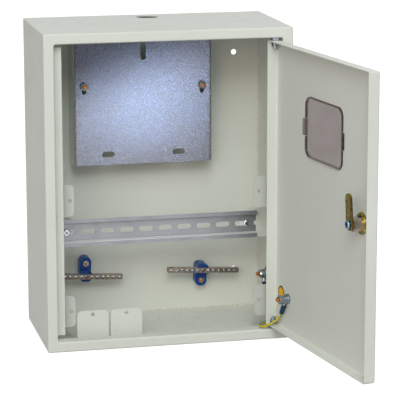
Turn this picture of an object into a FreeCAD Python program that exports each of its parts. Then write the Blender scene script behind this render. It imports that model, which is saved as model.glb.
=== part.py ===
import FreeCAD, Part
import math
import os
import re
import Sketcher

# Wall-mounted electric meter box, door open. Millimetres, Z up, front towards -Y.
# The origin is the centre of the four wall holes, on the back face that meets the wall.

doc = FreeCAD.newDocument("meter_box")
sizes = doc.addObject("Spreadsheet::Sheet", "sizes")

SIZES = [
    # Cabinet: outside size, sheet, bends and the rim around the front opening
    ("case_width", 310.0),
    ("case_height", 395.0),
    ("case_depth", 165.0),
    ("sheet", 1.0),
    ("bend", 2.0),
    ("rim", 13.0),
    ("lip", 16.0),
    ("opening_corner", 3.0),
    ("keeper", 11.0),
    ("keeper_short", 5.0),
    ("cap_seam", 3.0),
    # Holes in the cabinet
    ("wall_hole_in_x", 35.0),
    ("wall_hole_in_z", 52.5),
    ("wall_hole_radius", 3.5),
    ("entry_radius", 14.0),
    ("entry_back", 27.0),
    ("knockout_radius", 14.0),
    ("knockout_back", 34.0),
    ("knockout_pitch", 53.0),
    ("knockout_slit", 1.0),
    ("knockout_bridge", 4.0),
    # Door pan and its pivots
    ("door_gap_x", 2.5),
    ("door_gap_z", 4.0),
    ("door_flange", 14.3),
    ("door_bend", 2.2),
    ("pivot_edge", 6.0),
    ("pivot_face", 6.5),
    ("open_angle", 98.8),
    ("pin_radius", 2.5),
    ("pin_gap", 0.05),
    ("pin_end", 3.5),
    ("spacer_radius", 5.0),
    ("spacer_play", 0.3),
    ("pin_washer_radius", 3.7),
    ("pin_washer_thick", 1.3),
    ("pin_nut_flats", 8.0),
    ("pin_nut_thick", 4.5),
    # Window in the door
    ("window_u", 131.5),
    ("window_down", 93.5),
    ("window_width", 102.5),
    ("window_height", 74.5),
    ("window_corner", 12.0),
    ("window_gap", 0.8),
    ("window_lap", 4.0),
    ("window_flange", 1.5),
    ("window_rise", 2.0),
    ("window_wall", 1.3),
    ("window_joint", 0.5),
    ("hook_drop", 1.2),
    ("hook_reach", 7.5),
    ("hook_short", 4.0),
    ("hook_height", 20.0),
    ("hook_thick", 1.5),
    ("hook_gap", 0.1),
    ("hook_relief", 1.0),
    # Lock
    ("lock_edge", 36.0),
    ("lock_z", 0.0),
    ("lock_head_radius", 12.0),
    ("lock_head_thick", 3.0),
    ("lock_barrel_radius", 9.0),
    ("lock_barrel_end", 9.5),
    ("lock_flats", 16.0),
    ("lock_hole_gap", 0.1),
    ("lock_bore_radius", 6.0),
    ("lock_nut_flats", 24.0),
    ("lock_nut_thick", 3.5),
    ("plug_gap", 0.05),
    ("plug_proud", 0.4),
    ("key_slot_width", 1.8),
    ("key_slot_height", 7.0),
    ("key_slot_deep", 5.0),
    ("cam_face", 10.0),
    ("cam_thick", 2.5),
    ("cam_width", 14.0),
    ("cam_reach", 35.7),
    ("cam_lean", 6.0),
    ("cam_square", 8.0),
    ("cam_gap", 0.1),
    ("cam_screw_head", 5.2),
    ("cam_screw_thick", 3.0),
    ("cam_screw_radius", 2.0),
    ("cam_screw_long", 7.0),
    # Fixing tabs and rail brackets
    ("tab_setback", 32.0),
    ("tab_reach", 39.0),
    ("bottom_tab_reach", 41.5),
    ("tab_width", 40.0),
    ("tab_foot", 16.0),
    ("tab_corner", 6.0),
    ("tab_hole_radius", 2.5),
    ("tab_hole_inset", 5.0),
    ("upper_tab_rise", 184.0),
    ("lower_tab_rise", 43.0),
    ("bottom_tab_one_in", 62.0),
    ("bottom_tab_two_in", 104.5),
    ("rail_bracket_reach", 46.0),
    ("rail_bracket_width", 38.0),
    # Mounting rail
    ("rail_height", 35.0),
    ("rail_throat", 25.0),
    ("rail_rise", 7.5),
    ("rail_sheet", 1.0),
    ("rail_bend", 1.5),
    ("rail_inset", 25.5),
    ("rail_front", 90.0),
    ("rail_up", 132.5),
    ("rail_slot_long", 18.0),
    ("rail_slot_high", 6.2),
    ("rail_slot_pitch", 25.0),
    ("rail_slot_inset", 15.0),
    ("rail_screw_in", 38.0),
    ("rail_screw_radius", 2.0),
    ("rail_screw_head", 4.5),
    ("rail_screw_thick", 2.8),
    ("rail_screw_long", 9.0),
    # Meter plate
    ("plate_x", -7.5),
    ("plate_width", 181.0),
    ("plate_down", 25.5),
    ("plate_height", 162.0),
    ("plate_front", 37.0),
    ("plate_bend", 3.5),
    ("plate_stud_span", 153.5),
    ("plate_stud_down", 61.0),
    ("plate_stud_step", 1.4),
    ("plate_slot_width", 5.8),
    ("plate_slot_long", 13.5),
    ("meter_slot_span", 91.8),
    ("meter_slot_up", 13.5),
    ("meter_slot_long", 16.5),
    ("meter_slot_high", 7.0),
    ("meter_top_slot_down", 4.5),
    ("meter_top_slot_long", 23.8),
    ("plate_stud_radius", 2.5),
    ("plate_stud_long", 45.0),
    ("plate_nut_flats", 9.0),
    ("plate_nut_thick", 5.0),
    ("thread_gap", 0.05),
    # Terminal bars and their insulators
    ("bar_length", 95.0),
    ("bar_height", 6.0),
    ("bar_deep", 9.0),
    ("bar_back", 19.0),
    ("bar_rise", 58.5),
    ("left_bar_in", 73.0),
    ("right_bar_in", 81.5),
    ("bar_lean", 3.0),
    ("bar_pitch", 7.1),
    ("bar_side_count", 6.0),
    ("wire_hole_radius", 2.4),
    ("wire_hole_back", 3.6),
    ("bar_screw_radius", 2.4),
    ("bar_screw_sunk", 0.7),
    ("bar_screw_long", 3.2),
    ("bar_fix_radius", 1.6),
    ("bar_fix_head", 2.5),
    ("bar_fix_sunk", 2.4),
    ("bar_fix_thick", 2.0),
    ("bar_fix_long", 6.0),
    ("insulator_width", 15.0),
    ("insulator_base", 14.0),
    ("insulator_stud_off", 15.5),
    ("insulator_end", 8.2),
    ("insulator_block", 7.5),
    ("insulator_notch", 3.0),
    ("insulator_play", 0.05),
    ("insert_floor", 4.0),
    ("insulator_round", 5.0),
    ("insulator_stud_radius", 2.0),
    ("insulator_stud_long", 20.0),
    ("insulator_nut_flats", 7.0),
    ("insulator_nut_thick", 3.2),
    # Earth studs, lugs, sleeves and the bonding wire
    ("earth_wall_back", 46.0),
    ("earth_wall_rise", 54.5),
    ("earth_door_u", 33.0),
    ("earth_door_rise", 58.0),
    ("earth_stud_radius", 3.0),
    ("wall_stud_long", 14.0),
    ("door_stud_long", 16.8),
    ("earth_collar_radius", 6.5),
    ("earth_collar_thick", 2.5),
    ("earth_washer_radius", 6.0),
    ("earth_washer_thick", 1.5),
    ("earth_spring_radius", 4.8),
    ("earth_spring_thick", 3.6),
    ("earth_nut_flats", 10.0),
    ("earth_nut_thick", 5.0),
    ("lug_radius", 5.6),
    ("lug_thick", 1.0),
    ("lug_neck", 4.0),
    ("lug_barrel_radius", 2.2),
    ("lug_barrel_start", 7.0),
    ("lug_barrel_end", 15.0),
    ("lug_barrel_lift", 1.3),
    ("sleeve_radius", 2.9),
    ("sleeve_start", 10.5),
    ("sleeve_end", 24.0),
    ("sleeve_gap", 0.05),
    ("wall_lug_lean", 18.0),
    ("door_lug_lean", 30.0),
    ("wire_radius", 1.5),
    ("wire_straight", 8.0),
]

for row, (alias, number) in enumerate(SIZES, start=1):
    sizes.set("A%d" % row, alias)
    sizes.set("B%d" % row, str(number))
    sizes.setAlias("B%d" % row, alias)
doc.recompute()

AXIS_X = FreeCAD.Vector(1, 0, 0)
AXIS_Y = FreeCAD.Vector(0, 1, 0)
AXIS_Z = FreeCAD.Vector(0, 0, 1)
NEAR = 0.01
BEND_SHARE = 0.45

# Places and lengths that follow from the named sizes
FOLLOWS = {
    "punch": "4 * sheet",
    "open_half_x": "case_width / 2 - rim",
    "open_half_z": "case_height / 2 - rim",
    "wall_hole_span_x": "case_width - 2 * wall_hole_in_x",
    "wall_hole_span_z": "case_height - 2 * wall_hole_in_z",
    "door_width": "2 * open_half_x - 2 * door_gap_x",
    "door_height": "2 * open_half_z - 2 * door_gap_z",
    "door_inside": "sheet - pivot_face",
    "pivot_x": "open_half_x - door_gap_x - pivot_edge",
    "pivot_y": "pivot_face - case_depth",
    "window_z": "door_height / 2 - window_down",
    "hook_z": "window_z - hook_drop",
    "lock_u": "door_width - pivot_edge - lock_edge",
    "wall_left": "sheet - case_width / 2",
    "wall_right": "case_width / 2 - sheet",
    "floor_top": "sheet - case_height / 2",
    "tab_y": "tab_setback - case_depth",
    "upper_tab_z": "upper_tab_rise - case_height / 2",
    "lower_tab_z": "lower_tab_rise - case_height / 2",
    "bottom_tab_one_x": "bottom_tab_one_in - case_width / 2",
    "bottom_tab_two_x": "bottom_tab_two_in - case_width / 2",
    "rail_length": "case_width - 2 * rail_inset",
    "rail_z": "rail_up - case_height / 2",
    "rail_back": "rail_rise - rail_front",
    "rail_slot_first": "rail_slot_inset - rail_length / 2",
    "rail_slot_room": "rail_length - rail_slot_inset + rail_slot_long / 2",
    "rail_slot_count": "floor(rail_slot_room / rail_slot_pitch) + 1",
    "rail_screw_x": "case_width / 2 - rail_screw_in",
    "plate_top": "case_height / 2 - plate_down",
    "plate_bottom": "plate_top - plate_height",
    "plate_left": "plate_x - plate_width / 2",
    "plate_right": "plate_x + plate_width / 2",
    "plate_stud_z": "plate_top - plate_stud_down",
    "plate_slot_z": "plate_stud_z + plate_slot_width / 2 - plate_slot_long / 2",
    "meter_slot_z": "plate_bottom + meter_slot_up",
    "meter_top_slot_z": "plate_top - meter_top_slot_down - meter_top_slot_long / 2",
    "bar_z": "bar_rise - case_height / 2",
    "left_bar_x": "left_bar_in - case_width / 2",
    "right_bar_x": "case_width / 2 - right_bar_in",
    "bar_front": "-bar_back - bar_deep",
    "earth_wall_z": "earth_wall_rise - case_height / 2",
    "earth_door_z": "earth_door_rise - case_height / 2",
}


def spelled_out(text):
    """Write a formula with every place that follows from the sizes spelled out in full."""
    names = re.compile(r"\b(%s)\b" % "|".join(FOLLOWS))
    while names.search(text):
        text = names.sub(lambda found: "(%s)" % FOLLOWS[found.group(0)], text)
    return text


def bound(text):
    """Write a formula of bare size names as references to the sheet."""
    return re.sub(r"\b[a-z_]+\b(?!\()", lambda found: "sizes." + found.group(0), spelled_out(text))


def value(text):
    """Work a formula out from the sheet."""
    return float(sizes.evalExpression(spelled_out(text)))


def place(obj, base, turn=None, angle=None):
    """Put an object at a corner or centre given by formulas, turned as given."""
    obj.Placement = FreeCAD.Placement(FreeCAD.Vector(), turn or FreeCAD.Rotation())
    for axis, text in zip("xyz", base):
        obj.setExpression("Placement.Base." + axis, bound(text))
    if angle:
        obj.setExpression("Placement.Rotation.Angle", bound(angle))
    return obj


def box(name, size, corner):
    """A plain block."""
    obj = doc.addObject("Part::Box", name)
    for prop, text in zip(("Length", "Width", "Height"), size):
        obj.setExpression(prop, bound(text))
    return place(obj, corner)


def rod(name, radius, length, base, direction):
    """A round bar that starts at a point and runs along a direction."""
    obj = doc.addObject("Part::Cylinder", name)
    obj.setExpression("Radius", bound(radius))
    obj.setExpression("Height", bound(length))
    return place(obj, base, FreeCAD.Rotation(AXIS_Z, direction))


def hexagon(name, flats, length, base, direction):
    """A six-sided bar, sized across its flats."""
    obj = doc.addObject("Part::Prism", name)
    obj.Polygon = 6
    obj.setExpression("Circumradius", bound(flats) + " / sqrt(3)")
    obj.setExpression("Height", bound(length))
    return place(obj, base, FreeCAD.Rotation(AXIS_Z, direction))


def join(name, *solids):
    """One solid made of several."""
    obj = doc.addObject("Part::MultiFuse", name)
    obj.Shapes = list(solids)
    return obj


def cut(name, base, *tools):
    """A solid with other solids taken away."""
    obj = doc.addObject("Part::Cut", name)
    obj.Base = base
    obj.Tool = tools[0] if len(tools) == 1 else join(name + "_tools", *tools)
    return obj


def common(name, base, tool):
    """The part of a solid that lies in another."""
    obj = doc.addObject("Part::Common", name)
    obj.Base = base
    obj.Tool = tool
    return obj


def group(name, *solids):
    """Solids kept apart under one name."""
    obj = doc.addObject("Part::Compound", name)
    obj.Links = list(solids)
    return obj


def copy(name, master, base, turn=None, angle=None):
    """Another of the same piece at a place of its own."""
    obj = doc.addObject("App::Link", name)
    obj.LinkedObject = master
    return place(obj, base, turn, angle)


def copies(name, master, places):
    """A row or set of the same piece."""
    return group(name, *[copy("%s_%d" % (name, i), master, at) for i, at in enumerate(places)])


def on_door(obj):
    """Swing a piece made in the closed door's own frame to the open door."""
    return place(obj, ("pivot_x", "pivot_y", "0"), FreeCAD.Rotation(AXIS_Z, 1), "open_angle")


def on_wall(obj):
    """Set a piece made around the stud's own axis on the right side wall."""
    turn = FreeCAD.Rotation(AXIS_Z, 90)
    return place(obj, ("case_width / 2 - sheet", "-earth_wall_back", "earth_wall_z"), turn)


def new_body(name):
    return doc.addObject("PartDesign::Body", name)


def origin_feature(body, role):
    return [item for item in body.Origin.OriginFeatures if item.Role == role][0]


def solid_box(body, kind, name, size, corner):
    """Add or take away a block in a body."""
    feature = body.newObject("PartDesign::%sBox" % kind, name)
    for prop, text in zip(("Length", "Width", "Height"), size):
        feature.setExpression(prop, bound(text))
    return place(feature, corner)


def bore(body, name, radius, length, base, direction):
    """Drill a round hole in a body."""
    feature = body.newObject("PartDesign::SubtractiveCylinder", name)
    feature.setExpression("Radius", bound(radius))
    feature.setExpression("Height", bound(length))
    return place(feature, base, FreeCAD.Rotation(AXIS_Z, direction))


def round_edges(body, name, radius, chosen):
    """Round the edges of a body whose box passes a test."""
    doc.recompute()
    base = body.Tip
    edges = enumerate(base.Shape.Edges, start=1)
    names = ["Edge%d" % number for number, edge in edges if chosen(edge.BoundBox)]
    feature = body.newObject("PartDesign::Fillet", name)
    feature.Base = (base, names)
    feature.setExpression("Radius", bound(radius))
    return feature


def within(edge, x, y, z):
    """True for an edge whose box lies inside the given ranges."""
    spans = ((edge.XMin, edge.XMax, x), (edge.YMin, edge.YMax, y), (edge.ZMin, edge.ZMax, z))
    return all(low - NEAR <= small and big <= high + NEAR for small, big, (low, high) in spans)


def corner_line(edge, x, z):
    """True for an edge along Y at a corner x, z on either side of the middle."""
    straight = edge.XLength < NEAR and edge.ZLength < NEAR
    return straight and abs(abs(edge.XMin) - x) < NEAR and abs(abs(edge.ZMin) - z) < NEAR


def outline(body, name, role, corners):
    """A closed outline on a plane of the body, each corner held by its formulas."""
    sketch = body.newObject("Sketcher::SketchObject", name)
    sketch.AttachmentSupport = [(origin_feature(body, role), "")]
    sketch.MapMode = "FlatFace"
    points = [FreeCAD.Vector(value(first), value(second), 0) for first, second in corners]
    count = len(points)
    for i in range(count):
        sketch.addGeometry(Part.LineSegment(points[i], points[(i + 1) % count]), False)
    for i in range(count):
        sketch.addConstraint(Sketcher.Constraint("Coincident", i, 2, (i + 1) % count, 1))
    for i, corner in enumerate(corners):
        for kind, number, text in zip(("DistanceX", "DistanceY"), points[i], corner):
            held = sketch.addConstraint(Sketcher.Constraint(kind, -1, 1, i, 1, number))
            sketch.setExpression("Constraints[%d]" % held, bound(text))
    return sketch


def stadium(body, name, role, centre, long, wide, upright=False):
    """A slot outline with round ends, its length taken over the ends."""
    sketch = body.newObject("Sketcher::SketchObject", name)
    sketch.AttachmentSupport = [(origin_feature(body, role), "")]
    sketch.MapMode = "FlatFace"
    along = FreeCAD.Vector(0, 1, 0) if upright else FreeCAD.Vector(1, 0, 0)
    across = FreeCAD.Vector(-along.y, along.x, 0)
    middle = FreeCAD.Vector(value(centre[0]), value(centre[1]), 0)
    radius = value(wide) / 2
    run = along * (value(long) / 2 - radius)
    ends = [middle - run, middle + run]
    side = across * radius
    sketch.addGeometry(Part.LineSegment(ends[0] - side, ends[1] - side), False)
    sketch.addGeometry(Part.Arc(ends[1] - side, ends[1] + along * radius, ends[1] + side), False)
    sketch.addGeometry(Part.LineSegment(ends[1] + side, ends[0] + side), False)
    sketch.addGeometry(Part.Arc(ends[0] + side, ends[0] - along * radius, ends[0] - side), False)
    for first, second in ((0, 1), (1, 2), (2, 3), (3, 0)):
        sketch.addConstraint(Sketcher.Constraint("Tangent", first, 2, second, 1))
    rule = sketch.addConstraint(Sketcher.Constraint("Radius", 1, radius))
    sketch.setExpression("Constraints[%d]" % rule, bound("(%s) / 2" % wide))
    reach = "((%s) - (%s)) / 2" % (long, wide)
    shift = (0, reach) if upright else (reach, 0)
    for arc, sign in ((3, "-"), (1, "+")):
        for i, kind in enumerate(("DistanceX", "DistanceY")):
            text = centre[i] if shift[i] == 0 else "(%s) %s %s" % (centre[i], sign, shift[i])
            held = sketch.addConstraint(Sketcher.Constraint(kind, -1, 1, arc, 3, value(text)))
            sketch.setExpression("Constraints[%d]" % held, bound(text))
    return sketch


def pad(body, name, sketch, length, middle=False, back=False):
    """Thicken an outline, to one side or evenly to both."""
    feature = body.newObject("PartDesign::Pad", name)
    feature.Profile = sketch
    feature.setExpression("Length", bound(length))
    feature.Midplane = middle
    feature.Reversed = back
    return feature


def pocket(body, name, sketch):
    """Cut an outline right through the body, both ways from its plane."""
    doc.recompute()
    before = body.Tip.Shape.Volume
    feature = body.newObject("PartDesign::Pocket", name)
    feature.Profile = sketch
    feature.Type = "ThroughAll"
    feature.Midplane = True
    doc.recompute()
    if feature.Shape.Volume > before - NEAR:
        raise ValueError("nothing cut by " + name)
    return feature


def repeat(body, name, features, role, span, count):
    """Repeat cuts in a straight row."""
    feature = body.newObject("PartDesign::LinearPattern", name)
    feature.Originals = features
    feature.Direction = (origin_feature(body, role), [""])
    feature.setExpression("Length", bound(span))
    feature.setExpression("Occurrences", bound(count))
    body.Tip = feature
    return feature


# Cabinet blank: one folded and welded skin with a rim, a return lip and a keeper for the lock
blank = new_body("cabinet_blank")
solid_box(
    blank,
    "Additive",
    "outside",
    ("case_width", "case_depth", "case_height"),
    ("-case_width / 2", "-case_depth", "-case_height / 2"),
)
round_edges(blank, "outside_bends", "bend", lambda edge: True)
solid_box(
    blank,
    "Subtractive",
    "inside",
    ("case_width - 2 * sheet", "case_depth - 2 * sheet", "case_height - 2 * sheet"),
    ("sheet - case_width / 2", "sheet - case_depth", "sheet - case_height / 2"),
)
half_x = value("case_width / 2 - sheet")
half_z = value("case_height / 2 - sheet")
front_inside = value("sheet - case_depth")
back_inside = value("-sheet")
round_edges(
    blank,
    "inside_bends",
    "bend - sheet",
    lambda edge: within(edge, (-half_x, half_x), (front_inside, back_inside), (-half_z, half_z)),
)
solid_box(
    blank,
    "Additive",
    "lip_block",
    ("2 * open_half_x + 2 * sheet", "lip - sheet / 2", "2 * open_half_z + 2 * sheet"),
    ("-open_half_x - sheet", "sheet / 2 - case_depth", "-open_half_z - sheet"),
)
open_x = value("open_half_x")
open_z = value("open_half_z")
lip_x = value("open_half_x + sheet")
lip_z = value("open_half_z + sheet")
solid_box(
    blank,
    "Subtractive",
    "opening",
    ("2 * open_half_x", "lip + 2 * sheet", "2 * open_half_z"),
    ("-open_half_x", "-case_depth - sheet", "-open_half_z"),
)
round_edges(blank, "opening_corners", "opening_corner", lambda edge: corner_line(edge, open_x, open_z))
round_edges(blank, "lip_corners", "opening_corner + sheet", lambda edge: corner_line(edge, lip_x, lip_z))
round_edges(
    blank,
    "rim_bend_inside",
    "bend - sheet",
    lambda edge: within(edge, (-lip_x, lip_x), (front_inside, front_inside), (-lip_z, lip_z)),
)
front = value("-case_depth")
round_edges(
    blank,
    "rim_bend",
    "bend",
    lambda edge: within(edge, (-open_x, open_x), (front, front), (-open_z, open_z)),
)
solid_box(
    blank,
    "Additive",
    "lock_keeper",
    ("keeper + sheet / 2", "sheet", "2 * open_half_z - 2 * keeper_short"),
    ("-open_half_x - sheet / 2", "lip - sheet - case_depth", "keeper_short - open_half_z"),
)
for side, sign_x in (("left", "-"), ("right", "")):
    for level, sign_z in (("upper", ""), ("lower", "-")):
        bore(
            blank,
            "%s_%s_wall_hole" % (level, side),
            "wall_hole_radius",
            "punch",
            (sign_x + "wall_hole_span_x / 2", "-punch / 2", sign_z + "wall_hole_span_z / 2"),
            AXIS_Y,
        )
bore(
    blank,
    "cable_entry",
    "entry_radius",
    "punch",
    ("0", "-entry_back", "case_height / 2 - punch / 2"),
    AXIS_Z,
)
for level, start in (("upper", "open_half_z - sheet"), ("lower", "-open_half_z - punch + sheet")):
    pin_start = ("pivot_x", "pivot_y", start)
    bore(blank, level + "_pin_hole", "pin_radius + pin_gap", "punch", pin_start, AXIS_Z)

# The skin is a folded back with two sides, closed by a folded top and a folded bottom
seams = {}
for cap, plate_z, rim_z in (
    ("top", "case_height / 2 - sheet", "open_half_z - cap_seam"),
    ("bottom", "-case_height / 2 - rim", "-case_height / 2 - rim"),
):
    plate_tall = "rim + sheet"
    rim_tall = "2 * rim + cap_seam"
    seams[cap] = join(
        cap + "_seam",
        box(
            cap + "_plate_zone",
            ("case_width + 2 * rim", "case_depth + 2 * rim", plate_tall),
            ("-case_width / 2 - rim", "-case_depth - rim", plate_z),
        ),
        box(
            cap + "_rim_zone",
            ("case_width + 2 * rim", "rim + bend", rim_tall),
            ("-case_width / 2 - rim", "-case_depth - rim", rim_z),
        ),
        box(
            cap + "_lip_zone",
            ("2 * open_half_x + 2 * cap_seam", "lip + sheet", rim_tall),
            ("-open_half_x - cap_seam", "-case_depth", rim_z),
        ),
    )
cut("cabinet_shell", blank, seams["top"], seams["bottom"])
common("cabinet_top", blank, seams["top"])

# Knock-outs in the bottom: round slits held by two bridges
slits = []
for number, shift in (("one", "-knockout_pitch"), ("two", "0"), ("three", "knockout_pitch")):
    floor = (shift, "-knockout_back", "-case_height / 2 - sheet")
    ring = cut(
        "knockout_ring_" + number,
        rod("slit_outside_" + number, "knockout_radius", "punch", floor, AXIS_Z),
        rod("slit_inside_" + number, "knockout_radius - knockout_slit", "punch", floor, AXIS_Z),
        box(
            "knockout_bridge_" + number,
            ("2 * knockout_radius + 2 * sheet", "knockout_bridge", "punch"),
            (shift + " - knockout_radius - sheet", "-knockout_back - knockout_bridge / 2", floor[2]),
        ),
    )
    slits.append(ring)
cut("cabinet_bottom", common("bottom_blank", blank, seams["bottom"]), *slits)


def bracket(name, reach, width, hole):
    """An angle of sheet: a foot on the wall and a face with round corners and a screw hole."""
    body = new_body(name)
    corners = (
        ("0", "0"),
        (reach, "0"),
        (reach, "sheet"),
        ("sheet", "sheet"),
        ("sheet", "tab_foot"),
        ("0", "tab_foot"),
    )
    pad(body, name + "_angle", outline(body, name + "_section", "XY_Plane", corners), width, True)
    tip = value(reach)
    high = value("(%s) / 2" % width)
    round_edges(body, name + "_corners", "tab_corner", lambda edge: corner_line(edge, tip, high))
    round_edges(body, name + "_bend", "bend", lambda edge: within(edge, (0, 0), (0, 0), (-high, high)))
    across, radius = hole
    bore(body, name + "_hole", radius, "punch", (across, "-punch / 2", "0"), AXIS_Y)
    return body


FACE_RIGHT = FreeCAD.Rotation()
FACE_LEFT = FreeCAD.Rotation(AXIS_Y, 180)
FACE_UP = FreeCAD.Rotation(AXIS_Y, -90)
tab_spots = (
    ("upper_left_tab", "tab_reach", ("wall_left", "tab_y", "upper_tab_z"), FACE_RIGHT),
    ("lower_left_tab", "tab_reach", ("wall_left", "tab_y", "lower_tab_z"), FACE_RIGHT),
    ("upper_right_tab", "tab_reach", ("wall_right", "tab_y", "upper_tab_z"), FACE_LEFT),
    ("lower_right_tab", "tab_reach", ("wall_right", "tab_y", "lower_tab_z"), FACE_LEFT),
    ("bottom_tab_one", "bottom_tab_reach", ("bottom_tab_one_x", "tab_y", "floor_top"), FACE_UP),
    ("bottom_tab_two", "bottom_tab_reach", ("bottom_tab_two_x", "tab_y", "floor_top"), FACE_UP),
)
for name, reach, spot, turn in tab_spots:
    tab_hole = (reach + " - tab_hole_inset", "tab_hole_radius")
    place(bracket(name, reach, "tab_width", tab_hole), spot, turn)
rail_hole = ("case_width / 2 - sheet - rail_screw_x", "rail_screw_radius + thread_gap")
for name, wall, turn in (
    ("left_rail_bracket", "wall_left", FACE_RIGHT),
    ("right_rail_bracket", "wall_right", FACE_LEFT),
):
    angle = bracket(name, "rail_bracket_reach", "rail_bracket_width", rail_hole)
    place(angle, (wall, "rail_back", "rail_z"), turn)

# Mounting rail: a hat section with slots in its web
rail = new_body("mounting_rail")
hat = (
    ("rail_back", "rail_z - rail_throat / 2"),
    ("rail_back", "rail_z + rail_throat / 2"),
    ("rail_sheet - rail_front", "rail_z + rail_throat / 2"),
    ("rail_sheet - rail_front", "rail_z + rail_height / 2"),
    ("-rail_front", "rail_z + rail_height / 2"),
    ("-rail_front", "rail_z + rail_throat / 2 - rail_sheet"),
    ("rail_back - rail_sheet", "rail_z + rail_throat / 2 - rail_sheet"),
    ("rail_back - rail_sheet", "rail_z - rail_throat / 2 + rail_sheet"),
    ("-rail_front", "rail_z - rail_throat / 2 + rail_sheet"),
    ("-rail_front", "rail_z - rail_height / 2"),
    ("rail_sheet - rail_front", "rail_z - rail_height / 2"),
    ("rail_sheet - rail_front", "rail_z - rail_throat / 2"),
)
pad(rail, "rail_run", outline(rail, "rail_section", "YZ_Plane", hat), "rail_length", True)
rail_end = value("rail_length / 2")
rail_web = value("rail_back")
rail_lip = value("-rail_front")
rail_wall = value("rail_sheet")
rail_mouth = value("rail_throat / 2")
rail_middle = value("rail_z")


def rail_line(edge, depth, away):
    """True for an edge along the rail at a depth, as far above or below its middle."""
    heights = (rail_middle - away, rail_middle + away)
    return any(within(edge, (-rail_end, rail_end), (depth, depth), (z, z)) for z in heights)


round_edges(
    rail,
    "rail_bends",
    "rail_bend",
    lambda edge: rail_line(edge, rail_web, rail_mouth) or rail_line(edge, rail_lip, rail_mouth - rail_wall),
)
round_edges(
    rail,
    "rail_bends_inside",
    "rail_bend - rail_sheet",
    lambda edge: rail_line(edge, rail_web - rail_wall, rail_mouth - rail_wall)
    or rail_line(edge, rail_lip + rail_wall, rail_mouth),
)
rail_slot = stadium(
    rail,
    "rail_slot_outline",
    "XZ_Plane",
    ("rail_slot_first", "rail_z"),
    "rail_slot_long",
    "rail_slot_high",
)
first_slot = pocket(rail, "rail_slot", rail_slot)
rail_slot_span = "rail_slot_pitch * (rail_slot_count - 1)"
repeat(rail, "rail_slots", [first_slot], "X_Axis", rail_slot_span, "rail_slot_count")

screw_top = "rail_back - rail_sheet"
rail_screw = join(
    "rail_screw",
    rod("rail_screw_cap", "rail_screw_head", "rail_screw_thick", ("0", "0", "0"), -AXIS_Y),
    rod("rail_screw_shank", "rail_screw_radius", "rail_screw_long", ("0", "0", "0"), AXIS_Y),
)
copies(
    "rail_screws",
    rail_screw,
    [("-rail_screw_x", screw_top, "rail_z"), ("rail_screw_x", screw_top, "rail_z")],
)

# Meter plate: a sheet with both sides folded back to the wall and slots for the meter
plate = new_body("meter_plate")
channel = (
    ("plate_left", "-sheet"),
    ("plate_left", "-plate_front"),
    ("plate_right", "-plate_front"),
    ("plate_right", "-sheet"),
    ("plate_right - sheet", "-sheet"),
    ("plate_right - sheet", "sheet - plate_front"),
    ("plate_left + sheet", "sheet - plate_front"),
    ("plate_left + sheet", "-sheet"),
)
plate_section = outline(plate, "plate_section", "XY_Plane", channel)
plate_section.setExpression("AttachmentOffset.Base.z", bound("plate_bottom"))
pad(plate, "plate_run", plate_section, "plate_top - plate_bottom")
plate_half = value("plate_width / 2")
plate_face = value("-plate_front")
plate_z = (value("plate_bottom"), value("plate_top"))
plate_sides = [value("plate_x") - plate_half, value("plate_x") + plate_half]
round_edges(
    plate,
    "plate_bends",
    "plate_bend",
    lambda edge: any(within(edge, (x, x), (plate_face, plate_face), plate_z) for x in plate_sides),
)
round_edges(
    plate,
    "plate_bends_inside",
    "plate_bend - sheet",
    lambda edge: within(
        edge,
        (plate_sides[0] + value("sheet"), plate_sides[1] - value("sheet")),
        (value("sheet - plate_front"), value("sheet - plate_front")),
        plate_z,
    )
    and edge.XLength < NEAR,
)
for side, sign, rise in (("left", "-", "+"), ("right", "+", "-")):
    stud_x = "plate_x %s plate_stud_span / 2" % sign
    hang = stadium(
        plate,
        side + "_hang_outline",
        "XZ_Plane",
        (stud_x, "plate_slot_z %s plate_stud_step" % rise),
        "plate_slot_long",
        "plate_slot_width",
        True,
    )
    pocket(plate, side + "_hang_slot", hang)
    meter_x = "plate_x %s meter_slot_span / 2" % sign
    fixing = stadium(
        plate,
        side + "_meter_outline",
        "XZ_Plane",
        (meter_x, "meter_slot_z"),
        "meter_slot_long",
        "meter_slot_high",
    )
    pocket(plate, side + "_meter_slot", fixing)
top_slot = stadium(
    plate,
    "top_meter_outline",
    "XZ_Plane",
    ("plate_x", "meter_top_slot_z"),
    "meter_top_slot_long",
    "meter_slot_high",
    True,
)
pocket(plate, "top_meter_slot", top_slot)

# Welded studs and nuts that hold the meter plate
plate_stud = rod("plate_stud", "plate_stud_radius", "plate_stud_long", ("0", "0", "0"), -AXIS_Y)
plate_stud_holder = group("plate_stud_master", plate_stud)
plate_nut = cut(
    "plate_nut",
    hexagon("plate_nut_outside", "plate_nut_flats", "plate_nut_thick", ("0", "0", "0"), -AXIS_Y),
    rod("plate_nut_thread", "plate_stud_radius + thread_gap", "plate_nut_thick", ("0", "0", "0"), -AXIS_Y),
)
hang_spots = [
    ("plate_x - plate_stud_span / 2", "plate_stud_z + plate_stud_step"),
    ("plate_x + plate_stud_span / 2", "plate_stud_z - plate_stud_step"),
]
copies("plate_studs", plate_stud_holder, [(x, "-sheet", z) for x, z in hang_spots])
copies("plate_nuts", plate_nut, [(x, "-plate_front", z) for x, z in hang_spots])


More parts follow.
